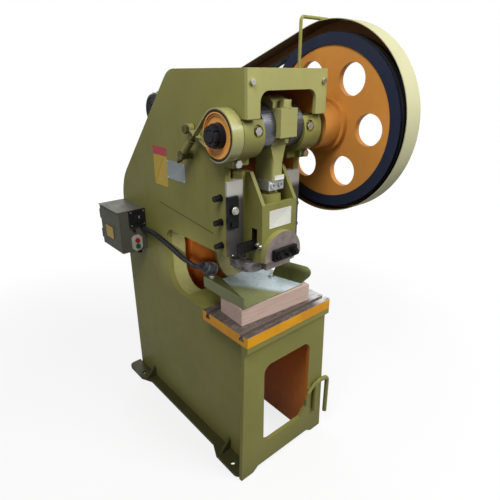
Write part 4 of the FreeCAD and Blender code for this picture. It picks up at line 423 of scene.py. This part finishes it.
def chute_sheet():
    """The tray: a floor polished by sliding work pieces, whose pale colour is a painted reflection of the
    white surround with a painted reflection of the left side near it, and dark enamelled sides with painted
    shade and highlights.
    """
    f = Finish("chute_sheet")
    floor_top, floor_left, level = 0.7715, -0.1786, 0.95
    floor = f.both(f.maths("GREATER_THAN", f.axis(f.facing, "Z"), level), f.where("Z", below=floor_top),
                   f.where("X", above=floor_left))
    # The floor's pale bluish colour is a painted reflection of the white surround over the polished sheet.
    polish_and_reflection = f.spread(f.noise(7, detail=5, roughness=0.6, stretch=(4, 1, 1)), 0.35, 0.7)
    bright = f.blend(polish_and_reflection, shade(226, 242, 248), shade(200, 222, 228))
    # The olive band along the floor's front left is a painted reflection of the tray's left side.
    reflection_turn, reflection_starts, reflection_full = 0.66, -0.1, -0.15
    slant = f.maths("MULTIPLY_ADD", f.maths("ADD", f.axis(f.place, "Y"), 0.2), reflection_turn,
                    f.axis(f.place, "X"))
    bright = f.blend(f.spread(slant, reflection_starts, reflection_full), bright, shade(138, 144, 94))

    drift = f.spread(f.noise(14, detail=5, roughness=0.6), 0.35, 0.7)
    enamel = f.blend(drift, shade(84, 88, 44), shade(64, 68, 36))
    side_right, side_left, lip_low, guide_left = -0.13, -0.17, 0.8105, 0.06
    # Painted shade: the lip is darker, as shade falls on it.
    lip = f.both(f.where("X", below=side_right), f.where("Z", above=lip_low))
    enamel = f.blend(lip, enamel, shade(60, 64, 34))
    # Painted light: the left side's outer face is lighter, as light falls on it.
    outer = f.both(f.faces("X", -1), f.where("X", below=side_left))
    enamel = f.blend(outer, enamel, shade(108, 112, 64))
    # Painted highlight: the guide's top band is lighter.
    guide_top = f.both(f.where("X", above=guide_left), f.spread(f.axis(f.place, "Z"), 0.80, 0.822))
    enamel = f.blend(guide_top, enamel, shade(132, 136, 84))
    # Painted highlight: the edges are paler olive.
    rounded, rim = f.edges(0.0012)
    enamel = f.blend(f.scaled(rim, 0.7), enamel, shade(170, 170, 120))

    sheen = f.spread(f.noise(26), 0.3, 0.7, 0.3, 0.44)
    smoother_floor = f.maths("ADD", f.scaled(floor, -0.12), sheen)
    f.look(f.blend(floor, enamel, bright), smoother_floor, f.scaled(floor, 0.35))
    f.relief(f.noise(90, detail=3), 0.00008, rounded)
    return f.material


def worn_table():
    """The table's worn top with oily scratches, slots whose walls are painted lighter to make up for their
    shade, and yellow edges.
    """
    metal = 0.5
    f = Finish("table_steel", metallic=metal, shine=0.3)
    marks = f.noise(9, detail=7, roughness=0.75, stretch=(4, 9, 1))
    top = f.blend(f.spread(marks, 0.3, 0.7), shade(128, 118, 112), shade(84, 73, 68))
    oil = f.spread(f.noise(24, detail=6, roughness=0.7), 0.5, 0.72, most=0.55)
    top = f.blend(oil, top, shade(70, 58, 46))
    right_end = f.spread(f.axis(f.place, "X"), 0.13, 0.19)
    scoured = f.spread(f.noise(36, detail=5, roughness=0.6, stretch=(0.5, 2, 1)), 0.34, 0.5)
    top = f.blend(f.both(right_end, scoured), top, shade(216, 216, 218))
    # Painted light: the faces that don't look up, the slots' walls among them, are lighter than the top to
    # make up for the shade inside the slots.
    upward = f.maths("GREATER_THAN", f.axis(f.facing, "Z"), 0.5)
    tone = f.blend(upward, shade(140, 128, 120), top)

    edge = table_edges(f)
    yellow = f.blend(f.spread(f.noise(9), 0.35, 0.7), shade(222, 156, 4), shade(204, 136, 6))
    rounded, rim = f.edges(0.0022)
    yellow = f.blend(f.both(rim, f.spread(f.noise(40), 0.4, 0.6)), yellow, shade(150, 120, 80))
    sheen = f.spread(f.maths("ADD", marks, f.noise(40)), 0.6, 1.4, 0.3, 0.52)
    f.look(f.blend(edge, tone, yellow), sheen, f.maths("SUBTRACT", metal, f.scaled(edge, metal)))
    f.relief(marks, 0.0001, rounded)
    return f.material


def block_wood():
    """Pale sawn board with long grain and pores."""
    f = Finish("block_wood", roughness=0.7)
    grain = f.noise(7, detail=6, roughness=0.6, stretch=(1.2, 9, 16))
    tone = f.blend(f.spread(grain, 0.3, 0.7), shade(200, 176, 162), shade(186, 158, 146))
    pores = f.spread(f.noise(120, detail=3, roughness=0.6, stretch=(0.12, 1, 1)), 0.6, 0.72, most=0.22)
    f.look(f.blend(pores, tone, shade(136, 104, 92)))
    f.relief(f.maths("ADD", grain, pores), 0.0002, f.edges(0.0016)[0])
    return f.material


def bulb_glass():
    """Frosted glass."""
    f = Finish("bulb_glass", roughness=0.25)
    f.look(f.blend(f.spread(f.noise(60, detail=3), 0.3, 0.7), shade(214, 210, 196), shade(186, 182, 168)))
    return f.material


# ---------------------------------------------------------------- finishes of the CAD pieces
def dress(finish, *names):
    """Gives a finish to all of the named CAD pieces."""
    for name in names:
        for place in NODES[name].material_slots:
            place.material = finish


bolt_steel = machined("bolt_steel", shade(216, 214, 206), 0.22, scale=40, stains=0.2)
dark_bolts = painted("black_oxide", shade(17, 17, 20), roughness=0.34, grime=0.1)

# the frame
dress(painted("wall_left", OLIVE, PRIMER, inside_wall(-1)), "left_side_plate")
dress(painted("wall_right", OLIVE, PRIMER, inside_wall(1)), "right_side_plate")
dress(painted("front_plate", OLIVE, PRIMER, window_rim), "base_front_plate")
dress(painted("back_plate", OLIVE, PRIMER, away_from_back), "frame_back_plate")
dress(painted("head_inside", MAROON, PRIMER_DEEP, lambda f: f.spread(f.noise(5), 0.4, 0.7)), "head_web")
dress(painted("bed_paint", OLIVE, PRIMER, bed_underside), "bed_plate")
# The bridge is painted paler than the frame's olive, standing in for the stronger light on it.
dress(painted("bridge_paint_lightened", OLIVE_PALE, shade(120, 66, 44), lambda f: f.faces("Y"), roughness=0.36),
      "bridge_plate")
# The liners are painted paler than the frame's olive, standing in for the light and highlights on their
# curves.
dress(painted("liner_paint_lightened", shade(172, 167, 108), roughness=0.24, grime=0.4, coat=0.3), "throat_liners")
dress(painted("flange_paint", OLIVE_DEEP, grime=0.8), "foot_flanges")
dress(worn_table(), "table")

# the crank line
dress(painted("casting_paint", OLIVE, peel=0.0004, coat=0.12), "left_bearing_block", "right_bearing_block",
      "left_bearing_cap", "right_bearing_cap", "ball_collar", "adjusting_screw")
dress(painted("rod_paint", OLIVE_PALE, roughness=0.36, coat=0.12), "connecting_rod", "rod_cap",
      "rod_cap_bolts")
dress(machined("polished_crank", shade(118, 121, 130), 0.22, GRAIN_ALONG_X, scale=9,
               stains=0.5), "crankshaft")
dress(machined("clamp_ring_steel", shade(204, 206, 208), 0.3, scale=40, stains=0.4, metallic=0.7),
      "rod_clamp")
dress(machined("bronze", shade(176, 140, 84), 0.3, GRAIN_ACROSS_Z), "main_bushes", "rod_bush")
dress(bolt_steel, "head_bolts")

# the slide and its guides
dress(worn_slide(), "slide")
dress(machined("gib_steel", shade(88, 86, 82), 0.36, GRAIN_ALONG_Z, scale=12, stains=0.6,
               second=shade(176, 174, 166), mask=gib_upper, metallic=0.6), "left_gib", "right_gib")
dress(machined("clamp_steel", shade(152, 138, 132), 0.46, scale=30, stains=0.3, second=OLIVE,
               mask=clamp_rim, metallic=0.5), "shank_clamp")
dress(dark_bolts, "clamp_fastening", "knockout_bar", "gib_screws", "gib_bracket")

# the brake
# The band's pale olive is partly a painted highlight on the shiny strap.
dress(painted("band_paint_lightened", OLIVE_PALE, roughness=0.24, coat=0.5, shine=0.4), "brake_band")
dress(painted("anchor_paint", OLIVE_DEEP, shade(112, 104, 62), lambda f: f.spread(f.noise(60), 0.5, 0.6),
              grime=0.7), "brake_anchors")
dress(painted("spring_paint", shade(126, 122, 72), roughness=0.3), "brake_spring")
# The drum is painted a lighter orange than the wheel, to make up for the shade in its recess.
dress(painted("drum_paint_lightened", shade(240, 168, 82), roughness=0.3, coat=0.2), "brake_drum")
dress(painted("nut_black", shade(28, 29, 38), roughness=0.3, grime=0.1), "brake_hub_nut")
dress(plastic("friction_black", shade(40, 34, 30), 0.7, texture=0.0005), "brake_lining")

# the drive
dress(painted("wheel_paint", ORANGE, NAVY, wheel_rim, roughness=0.34, chips=0.35), "flywheel")
# The guard's outside is painted cream as painted light on its olive paint; its inside is brown primer.
dress(painted("guard_paint_lightened", GUARD_CREAM_LIT, shade(112, 78, 50), guard_inside, roughness=0.5), "belt_guard")
dress(painted("bar_paint", OLIVE, roughness=0.34), "guard_supports", "pedal_fork")
dress(painted("saddle_paint", OLIVE_DEEP), "motor_bracket")
dress(painted("motor_paint", shade(58, 60, 54)), "motor_housing")
dress(machined("oily_steel", shade(62, 58, 56), 0.36, GRAIN_ACROSS_Z), "clutch_collar", "motor_pulley")
dress(plastic("belt_rubber", shade(34, 33, 32), 0.6), "drive_belts")

# the controls, the lamp's hose and what lies on the table
dress(painted("box_paint", shade(98, 98, 88), roughness=0.5, grime=0.3, chips=0.3, peel=0.0003),
      "control_box", "control_box_door")
dress(plastic("hose_rubber", shade(18, 18, 20), 0.45), "lamp_arm", "cable_gland")
dress(plastic("switch_black", shade(28, 28, 30), 0.4), "switch_plate", "switch_knob")
dress(plastic("button_grey", shade(188, 182, 172), 0.45), "button_plate")
dress(plastic("stop_red", shade(170, 40, 48), 0.3), "stop_button")
dress(plastic("start_green", shade(24, 92, 62), 0.3), "start_button")
dress(chute_sheet(), "feed_tray")
dress(block_wood(), "wood_block")

# ---------------------------------------------------------------- shaping by hand
ALIGNED = 0.9       # a face or an edge lies along an axis past this cosine
SQUARE = 0.1        # and across it below this one
LEVEL = 1e-6        # two points this close in height are level
FACING_LEFT = (0, -math.pi / 2, 0)


def begin(add_primitive, **sizes):
    """Adds a primitive with nothing else selected, and opens it for shaping with nothing of it selected."""
    bpy.ops.object.select_all(action="DESELECT")
    add_primitive(**sizes)
    bpy.ops.object.transform_apply(location=True, rotation=True, scale=True)
    bpy.ops.object.mode_set(mode="EDIT")
    bpy.ops.mesh.select_all(action="DESELECT")
    return bpy.context.object


def pick_faces(piece, test):
    """Selects the faces whose middle and normal pass the test."""
    bpy.ops.mesh.select_mode(type="FACE")
    mesh = bmesh.from_edit_mesh(piece.data)
    for face in mesh.faces:
        face.select_set(test(face.calc_center_median(), face.normal))
    bmesh.update_edit_mesh(piece.data)


def pick_edges(piece, test):
    """Selects the edges whose two ends pass the test."""
    bpy.ops.mesh.select_mode(type="EDGE")
    mesh = bmesh.from_edit_mesh(piece.data)
    for edge in mesh.edges:
        edge.select_set(test(edge.verts[0].co, edge.verts[1].co))
    bmesh.update_edit_mesh(piece.data)


def pick_top(piece, within=math.inf):
    """Selects the faces that look up and lie within a distance of the middle axis."""
    pick_faces(piece, lambda at, normal: normal.z > ALIGNED and at.to_2d().length < within)


def draw_out(rise, wide=1, tall=1):
    """Extrudes what is selected along Z, then scales it."""
    bpy.ops.mesh.extrude_region_move(TRANSFORM_OT_translate={"value": (0, 0, rise)})
    bpy.ops.transform.resize(value=(wide, wide, tall))


def raise_by(rise):
    """Moves what is selected along Z."""
    bpy.ops.transform.translate(value=(0, 0, rise))


def finish_piece(piece, name, finish, body="frame", smooth=35, turn=(0, 0, 0), place=(0, 0, 0)):
    """Turns and moves the piece, sets that into its mesh, smooths it, and gives it its material
    and body."""
    bpy.ops.object.mode_set(mode="OBJECT")
    piece.name = name
    piece.rotation_euler, piece.location = turn, place
    bpy.ops.object.transform_apply(location=True, rotation=True, scale=True)
    bpy.ops.object.shade_smooth_by_angle(angle=math.radians(smooth))
    piece.data.materials.clear()
    piece.data.materials.append(finish)
    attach(piece, body)
    return piece


def copy_to(piece, name, offset, body="frame"):
    """A copy with a mesh of its own, moved by offset."""
    bpy.ops.object.select_all(action="DESELECT")
    piece.select_set(True)
    bpy.context.view_layer.objects.active = piece
    bpy.ops.object.duplicate()
    twin = bpy.context.object
    twin.location = offset
    bpy.ops.object.transform_apply(location=True, rotation=True, scale=True)
    twin.name = name
    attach(twin, body)


def thin_plate(name, middle, size, out, corner, finish, body="frame", rim=0.0):
    """A plate with rounded corners. Its face looks along out, an axis with a sign, and is either sunk
    inside a rim or softened at its edge."""
    thin, sign = "XYZ".index(out[-1]), -1 if out[0] == "-" else 1
    sunk, softened = 0.35 * size[thin], 0.3 * size[thin]
    plate = begin(bpy.ops.mesh.primitive_cube_add, size=1, location=middle, scale=size)
    pick_edges(plate, lambda a, b: abs((a - b).normalized()[thin]) > ALIGNED)
    bpy.ops.mesh.bevel(offset=corner, segments=5)
    bpy.ops.mesh.select_all(action="DESELECT")
    pick_faces(plate, lambda at, normal: normal[thin] * sign > ALIGNED)
    if rim:
        bpy.ops.mesh.inset(thickness=rim)
        move = [0, 0, 0]
        move[thin] = -sign * sunk
        bpy.ops.transform.translate(value=move)
    else:
        bpy.ops.mesh.bevel(offset=softened, segments=2)
    finish_piece(plate, name, finish, body)


def bolt(name, foot, out, across, tall, finish, body="frame", sides=6, washer=1.25):
    """A bolt head with a chamfered, dished top on a washer, standing on foot and looking along out."""
    flat, chamfer, dish_rim, dish = tall * 0.22, across * 0.07, across * 0.12, tall * 0.08
    head = begin(bpy.ops.mesh.primitive_cylinder_add, vertices=sides, depth=tall,
                 radius=across / 2 / math.cos(math.pi / sides), location=(0, 0, flat + tall / 2))
    pick_top(head)
    bpy.ops.mesh.bevel(offset=chamfer, segments=2)
    pick_top(head)
    bpy.ops.mesh.inset(thickness=dish_rim)
    raise_by(-dish)
    bpy.ops.mesh.select_all(action="DESELECT")
    bpy.ops.mesh.primitive_cylinder_add(vertices=24, radius=across / 2 * washer, depth=flat,
                                        location=(0, 0, flat / 2))
    turn = Vector(out).to_track_quat("Z", "Y").to_euler()
    return finish_piece(head, name, finish, body, turn=turn, place=foot)


def weld_bead(name, start, end, radius, finish, ripple=0.006):
    """A rippled bead of weld metal along a straight joint."""
    start, end = Vector(start), Vector(end)
    along = end - start
    cuts = max(4, int(along.length / ripple))
    pitch, waist = along.length / (cuts + 1), 0.86
    bead = begin(bpy.ops.mesh.primitive_cylinder_add, vertices=8, radius=radius, depth=along.length)
    pick_edges(bead, lambda a, b: abs((a - b).normalized().z) > ALIGNED)
    bpy.ops.mesh.subdivide(number_cuts=cuts)
    pick_edges(bead, lambda a, b: abs(a.z - b.z) < LEVEL
               and round((a.z + along.length / 2) / pitch) % 2 == 0)
    bpy.ops.transform.resize(value=(waist, waist, 1))
    turn = along.to_track_quat("Z", "Y").to_euler()
    finish_piece(bead, name, finish, smooth=60, turn=turn, place=(start + end) / 2)


def left_end(box):
    """The middle of a box's left end."""
    low, high = box
    return Vector((low[0], (low[1] + high[1]) / 2, (low[2] + high[2]) / 2))


# ---------------------------------------------------------------- small pieces
WALL_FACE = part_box("left_side_plate")[0][0]
SLIDE_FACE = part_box("slide")[0][1]
CARD_THICK = 0.0012
UP, LEFT, FORWARD = (0, 0, 1), (-1, 0, 0), (0, -1, 0)


def wall_cards():
    """The two bare plates on the left wall: one in two tones, one riveted."""
    centre, red_from = WALL_FACE - CARD_THICK / 2, 1.249
    two_tone = card("card_two_tone", CARD_YELLOW, CARD_RED, lambda f: f.where("Z", above=red_from))
    thin_plate("wall_card", (centre, 0.0975, 1.204), (CARD_THICK, 0.105, 0.158), "-X", 0.004, two_tone,
               rim=0.005)
    thin_plate("wall_badge", (centre, -0.021, 1.2015), (CARD_THICK, 0.130, 0.073), "-X", 0.003,
               card("card_silver", CARD_SILVER), rim=0.003)
    rivet = bolt("badge_rivet_1", (WALL_FACE - CARD_THICK, -0.080, 1.170), LEFT, across=0.006, tall=0.002,
                 finish=bolt_steel, sides=12)
    apart, up = 0.118, 0.063
    for i, (y, z) in enumerate(((apart, 0), (0, up), (apart, up))):
        copy_to(rivet, "badge_rivet_%d" % (i + 2), (0, y, z))


def slide_card():
    """The bare card on the slide's front."""
    thin_plate("slide_card", (0.003, SLIDE_FACE - CARD_THICK / 2, 1.074), (0.108, CARD_THICK, 0.066), "-Y",
               0.003, card("card_white", CARD_WHITE), body="slide", rim=0.003)


def door_card():
    """The bare card on the control box's door."""
    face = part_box("control_box_door")[0][0]
    thin_plate("door_card", (face - CARD_THICK / 2, 0.398, 0.868), (CARD_THICK, 0.076, 0.058), "-X", 0.004,
               card("card_door", CARD_YELLOW), body="box_door", rim=0.003)


def rod_card():
    """The small bare strip on the rod's front."""
    ahead = 0.0008
    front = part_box("rod_clamp")[0][1]
    thin_plate("rod_card", (0.008, front - ahead, 1.2165), (0.046, CARD_THICK, 0.017), "-Y", 0.002,
               card("card_rod", CARD_WHITE), body="rod", rim=0.0015)


def switch_marks():
    """Four screws in the switch plate's corners and the white line on the knob."""
    low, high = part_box("switch_plate")
    plate_low, plate_side, inset = 0.905, 0.08, 0.009
    screw_paint = machined("screw_zinc", shade(170, 168, 158), 0.3, scale=40, stains=0.2)
    first = bolt("switch_screw_1", (low[0] + inset, low[1], plate_low + inset), FORWARD, across=0.008,
                 tall=0.0024, finish=screw_paint, sides=16, washer=1.05)
    wide, tall = high[0] - low[0] - 2 * inset, plate_side - 2 * inset
    for i, (x, z) in enumerate(((wide, 0), (0, tall), (wide, tall))):
        copy_to(first, "switch_screw_%d" % (i + 2), (x, 0, z))
    low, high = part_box("switch_knob")
    thick, ahead, below_top = 0.0008, 0.0003, 0.008
    thin_plate("knob_line", ((low[0] + high[0]) / 2, low[1] - ahead, high[2] - below_top),
               (0.003, thick, 0.012), "-Y", 0.0008, card("line_white", CARD_WHITE), body="switch")


def tray_bolts():
    """The bolts that hold the tray's side to its lip and the guide to its floor."""
    tray_low, lip_high, sheet = 0.765, 0.046, 0.003
    bolt("tray_bolt", (-0.164, -0.214, tray_low + lip_high), UP, across=0.017, tall=0.007, finish=bolt_steel)
    bolt("guide_bolt", (0.080, -0.296, tray_low + sheet), UP, across=0.018, tall=0.008, finish=bolt_steel)


def slide_bolts():
    """The screws beside the knock-out bar in the slide's left side."""
    slide_left = -0.085
    first = bolt("bar_screw_1", (slide_left, -0.3955, 0.985), LEFT, across=0.013, tall=0.007,
                 finish=bolt_steel, body="slide", sides=16)
    copy_to(first, "bar_screw_2", (0, -0.0155, -0.004), "slide")


def rod_nuts():
    """The two nuts that hold the rod's cap down."""
    front = bolt("rod_nut_front", (0, -0.430, 1.4505), UP, across=0.034, tall=0.022,
                 finish=painted("nut_paint", OLIVE_PALE, roughness=0.34), body="rod")
    copy_to(front, "rod_nut_rear", (0, 0.152, 0), "rod")


def lock_nut():
    """The slotted ring nut that locks the brake hub's nut, with the shaft's end inside it."""
    sides, slots, thick = 48, 6, 0.016
    middle_face, same_side = 0.01, 0.994
    slot_ways = [Vector((math.cos(a), math.sin(a))) for a in
                 (math.radians(180 / sides + i * 360 / slots) for i in range(slots))]
    nut = begin(bpy.ops.mesh.primitive_cylinder_add, vertices=sides, radius=0.033, depth=thick)
    pick_faces(nut, lambda at, normal: abs(normal.z) < SQUARE and any(
        at.to_2d().normalized().dot(way) > same_side for way in slot_ways))
    bpy.ops.mesh.extrude_region_shrink_fatten(TRANSFORM_OT_shrink_fatten={"value": -0.005})
    pick_top(nut, middle_face)
    bpy.ops.mesh.inset(thickness=0.012)
    draw_out(-0.004)
    bpy.ops.mesh.inset(thickness=0.003)
    raise_by(0.006)
    black = painted("lock_nut_black", shade(24, 25, 33), roughness=0.3, grime=0.1)
    finish_piece(nut, "brake_lock_nut", black, "crank", turn=FACING_LEFT,
                 place=left_end(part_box("brake_hub_nut")) + Vector((-thick / 2, 0, 0)))


def fan_cowl():
    """The ribbed cowl over the motor's fan, at its left end."""
    depth, overlap, middle_face = 0.027, 0.003, 0.01
    ridge, groove, wall, groove_deep = 0.006, 0.005, 0.0008, 0.004
    rib_every, rib_inset, rib_proud = 5, 0.0006, 0.0025
    cowl = begin(bpy.ops.mesh.primitive_cylinder_add, vertices=72, radius=0.068, depth=depth)
    pick_top(cowl)
    bpy.ops.mesh.bevel(offset=0.009, segments=4)
    for _ in range(4):
        pick_top(cowl, middle_face)
        for wide, rise in ((ridge, -groove_deep), (groove, groove_deep)):
            bpy.ops.mesh.inset(thickness=wide)
            bpy.ops.mesh.inset(thickness=wall)
            raise_by(rise)
    pick_faces(cowl, lambda at, normal: abs(normal.z) < SQUARE
               and round(math.degrees(math.atan2(at.y, at.x)) / rib_every) % 2 == 0)
    bpy.ops.mesh.inset(thickness=rib_inset, use_individual=True)
    bpy.ops.mesh.extrude_region_shrink_fatten(TRANSFORM_OT_shrink_fatten={"value": rib_proud})
    finish_piece(cowl, "motor_fan_cowl", plastic("cowl_black", shade(34, 36, 42), 0.36),
                 turn=FACING_LEFT,
                 place=left_end(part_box("motor_housing")) + Vector((overlap - depth / 2, 0, 0)))


def guard_rim():
    """The flange turned inwards along the guard's outer edge."""
    thick, flange, on_edge, straight = 0.0016, 0.045, (0, math.pi / 2, 0), math.radians(0.4)
    rim = begin(bpy.ops.mesh.primitive_cylinder_add, vertices=160, radius=0.3472, depth=thick,
                location=(0, -0.35, 1.385), rotation=on_edge)
    bpy.ops.mesh.primitive_cylinder_add(vertices=80, radius=0.1282, depth=thick, location=(0, 0.23, 1.41),
                                        rotation=on_edge)
    bpy.ops.mesh.select_all(action="SELECT")
    bpy.ops.mesh.convex_hull()
    bpy.ops.mesh.select_all(action="SELECT")
    bpy.ops.mesh.dissolve_limited(angle_limit=straight)
    pick_faces(rim, lambda at, normal: abs(normal.x) > ALIGNED)
    bpy.ops.mesh.inset(thickness=flange, use_individual=True)
    bpy.ops.mesh.bridge_edge_loops()
    bpy.ops.mesh.select_all(action="SELECT")
    bpy.ops.mesh.normals_make_consistent(inside=False)
    guard_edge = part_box("belt_guard")[1][0]
    # The rim's outer face takes the guard's cream, which stands in for the light on it.
    inner = painted("rim_paint", shade(152, 104, 66), GUARD_CREAM_LIT, lambda f: f.faces("X"), roughness=0.5)
    finish_piece(rim, "guard_rim", inner, smooth=25, place=(guard_edge - thick / 2, 0, 0))


def bracket_knob():
    """The bright pin in the gib bracket's slot."""
    bolt("bracket_knob", (-0.160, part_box("gib_bracket")[0][1], 1.118), FORWARD, across=0.023, tall=0.007,
         finish=bolt_steel, sides=24)


def weld_seams():
    """The weld metal between the base, its foot flanges and the walls."""
    weld = painted("weld_paint", OLIVE_DEEP, peel=0.0003, grime=0.6)
    out, front, rear, high = 0.178, -0.46, 0.49, 0.016
    for x, word in ((-out, "left"), (out, "right")):
        weld_bead(word + "_foot_weld", (x, front, high), (x, rear, high), 0.004, weld)
    weld_bead("wall_seam", (WALL_FACE, 0.126, 1.048), (WALL_FACE, -0.254, 1.010), 0.0016,
              painted("seam_paint", OLIVE_DEEP), ripple=0.02)


# ---------------------------------------------------------------- work lamp
LAMP_SWIVEL = Vector((-0.170, -0.160, 0.844))
LAMP_AIM = Vector((0.80, 0.16, -0.58)).normalized()
LAMP_TURN = LAMP_AIM.to_track_quat("Z", "Y").to_euler()


def finish_on_lamp(piece, name, finish, ahead=0.0):
    """Finishes a piece that stands on the lamp's axis, a distance ahead of the swivel."""
    return finish_piece(piece, name, finish, turn=LAMP_TURN, place=LAMP_SWIVEL + LAMP_AIM * ahead)


def lamp_shade():
    """The lamp's shade, flared from its neck and hollow, turned into the throat."""
    neck_round, neck_long, wall, middle_face = 0.0175, 0.026, 0.0016, 0.002
    flare = ((0.003, 1.32), (0.008, 1.18), (0.014, 1.10), (0.016, 1.05))
    hollow = ((-0.016, 0.94), (-0.016, 0.9), (-0.006, 0.7))
    head = begin(bpy.ops.mesh.primitive_cylinder_add, vertices=48, radius=neck_round, depth=neck_long)
    pick_faces(head, lambda at, normal: normal.z < -ALIGNED)
    bpy.ops.mesh.bevel(offset=0.004, segments=3)
    pick_top(head, middle_face)
    for rise, wide in flare:
        draw_out(rise, wide)
    bpy.ops.mesh.inset(thickness=wall)
    for sink, narrow in hollow:
        draw_out(sink, narrow)
    finish_on_lamp(head, "lamp_shade", plastic("lamp_enamel", shade(74, 74, 78), 0.3),
                   ahead=0.008)
    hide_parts("lamp_head")


def lamp_swivel():
    """The ball between the hose and the shade, flattened where the hose enters."""
    ball = begin(bpy.ops.mesh.primitive_uv_sphere_add, segments=32, ring_count=18, radius=0.0165)
    pick_faces(ball, lambda at, normal: at.z < -0.0125)
    draw_out(-0.004, tall=0.1)
    finish_on_lamp(ball, "lamp_swivel", plastic("swivel_black", shade(26, 27, 32), 0.34))


def lamp_bulb():
    """The bulb with its neck."""
    bulb = begin(bpy.ops.mesh.primitive_uv_sphere_add, segments=24, ring_count=14, radius=0.0125)
    pick_faces(bulb, lambda at, normal: at.z < -0.0085)
    draw_out(-0.018, wide=0.9, tall=0.3)
    finish_on_lamp(bulb, "lamp_bulb", bulb_glass(), ahead=0.044)


def lamp_ring():
    """The steel ring in the shade's mouth."""
    ring_round, wall = 0.0325, 0.0028
    ring = begin(bpy.ops.mesh.primitive_cylinder_add, vertices=48, radius=ring_round, depth=0.005,
                 end_fill_type="NGON")
    pick_faces(ring, lambda at, normal: abs(normal.z) > ALIGNED)
    bpy.ops.mesh.inset(thickness=wall, use_individual=True)
    bpy.ops.mesh.bridge_edge_loops()
    outer_edge = ring_round - 0.001
    pick_edges(ring, lambda a, b: min(a.to_2d().length, b.to_2d().length) > outer_edge
               and abs(a.z - b.z) < LEVEL)
    bpy.ops.mesh.bevel(offset=0.0012, segments=3)
    ring_steel = machined("lamp_ring_steel", shade(120, 120, 124), 0.3, scale=30, stains=0.3)
    finish_on_lamp(ring, "lamp_ring", ring_steel, ahead=0.0615)


# ---------------------------------------------------------------- studio
def studio_floor():
    """A pale floor, lit as the camera sees it and a little darker near the press."""
    bpy.ops.object.select_all(action="DESELECT")
    bpy.ops.mesh.primitive_plane_add(size=30, location=(0, 0, 0))
    floor = bpy.context.object
    floor.name = "studio_floor"
    paint = Finish("studio_white", roughness=0.9, shine=0.1)
    paint.look((0.16, 0.16, 0.16, 1))
    near, far, near_level, far_level = 0.9, 3.4, 0.80, 0.94
    away = paint.spread(paint.distance_from((0, 0, 0), (1, 1, 0)), near, far, near_level, far_level)
    paint.put(paint.shader, "Emission Color", WHITE)
    paint.put(paint.shader, "Emission Strength", paint.scaled(paint.looked_at(), away))
    floor.data.materials.append(paint.material)


def surround():
    """A world that is white to the camera and lights the press softly."""
    world = bpy.data.worlds.new("surround")
    bpy.context.scene.world = world
    world.use_nodes = True
    sky = Wiring(world.node_tree)
    background = sky.tree.nodes["Background"]
    lighting = 0.3
    sky.put(background, "Color", WHITE)
    sky.put(background, "Strength", sky.maths("MULTIPLY_ADD", sky.looked_at(), 1 - lighting, lighting))


def hang_lamp(kind, name, place, target, power):
    """Adds a lamp that looks from its place at a target."""
    bpy.ops.object.light_add(type=kind, location=place)
    lamp = bpy.context.object
    lamp.name = name
    lamp.data.energy = power
    lamp.rotation_euler = (Vector(target) - Vector(place)).to_track_quat("-Z", "Y").to_euler()
    return lamp.data


def lamps():
    """Three soft lamps, and a small one that shines into the throat from beside the camera."""
    hang_lamp("AREA", "key_lamp", (1.1, -3.0, 3.5), (0, -0.3, 1.2), 122).size = 1.8
    hang_lamp("AREA", "left_lamp", (-1.1, -1.0, 2.9), (0.1, -0.2, 1.4), 32).size = 0.9
    hang_lamp("AREA", "back_lamp", (1.5, 4.0, 3.4), (0, 0, 0.9), 60).size = 2.4
    spot = hang_lamp("SPOT", "throat_lamp", (-1.16, -1.42, 1.50), (0.154, 0.46, 0.620), 110)
    spot.shadow_soft_size, spot.spot_size, spot.spot_blend = 0.07, math.radians(7.5), 0.7


wall_cards()
slide_card()
door_card()
rod_card()
rod_nuts()
lock_nut()
fan_cowl()
guard_rim()
switch_marks()
tray_bolts()
slide_bolts()
bracket_knob()
weld_seams()
lamp_shade()
lamp_swivel()
lamp_bulb()
lamp_ring()
studio_floor()
surround()
lamps()
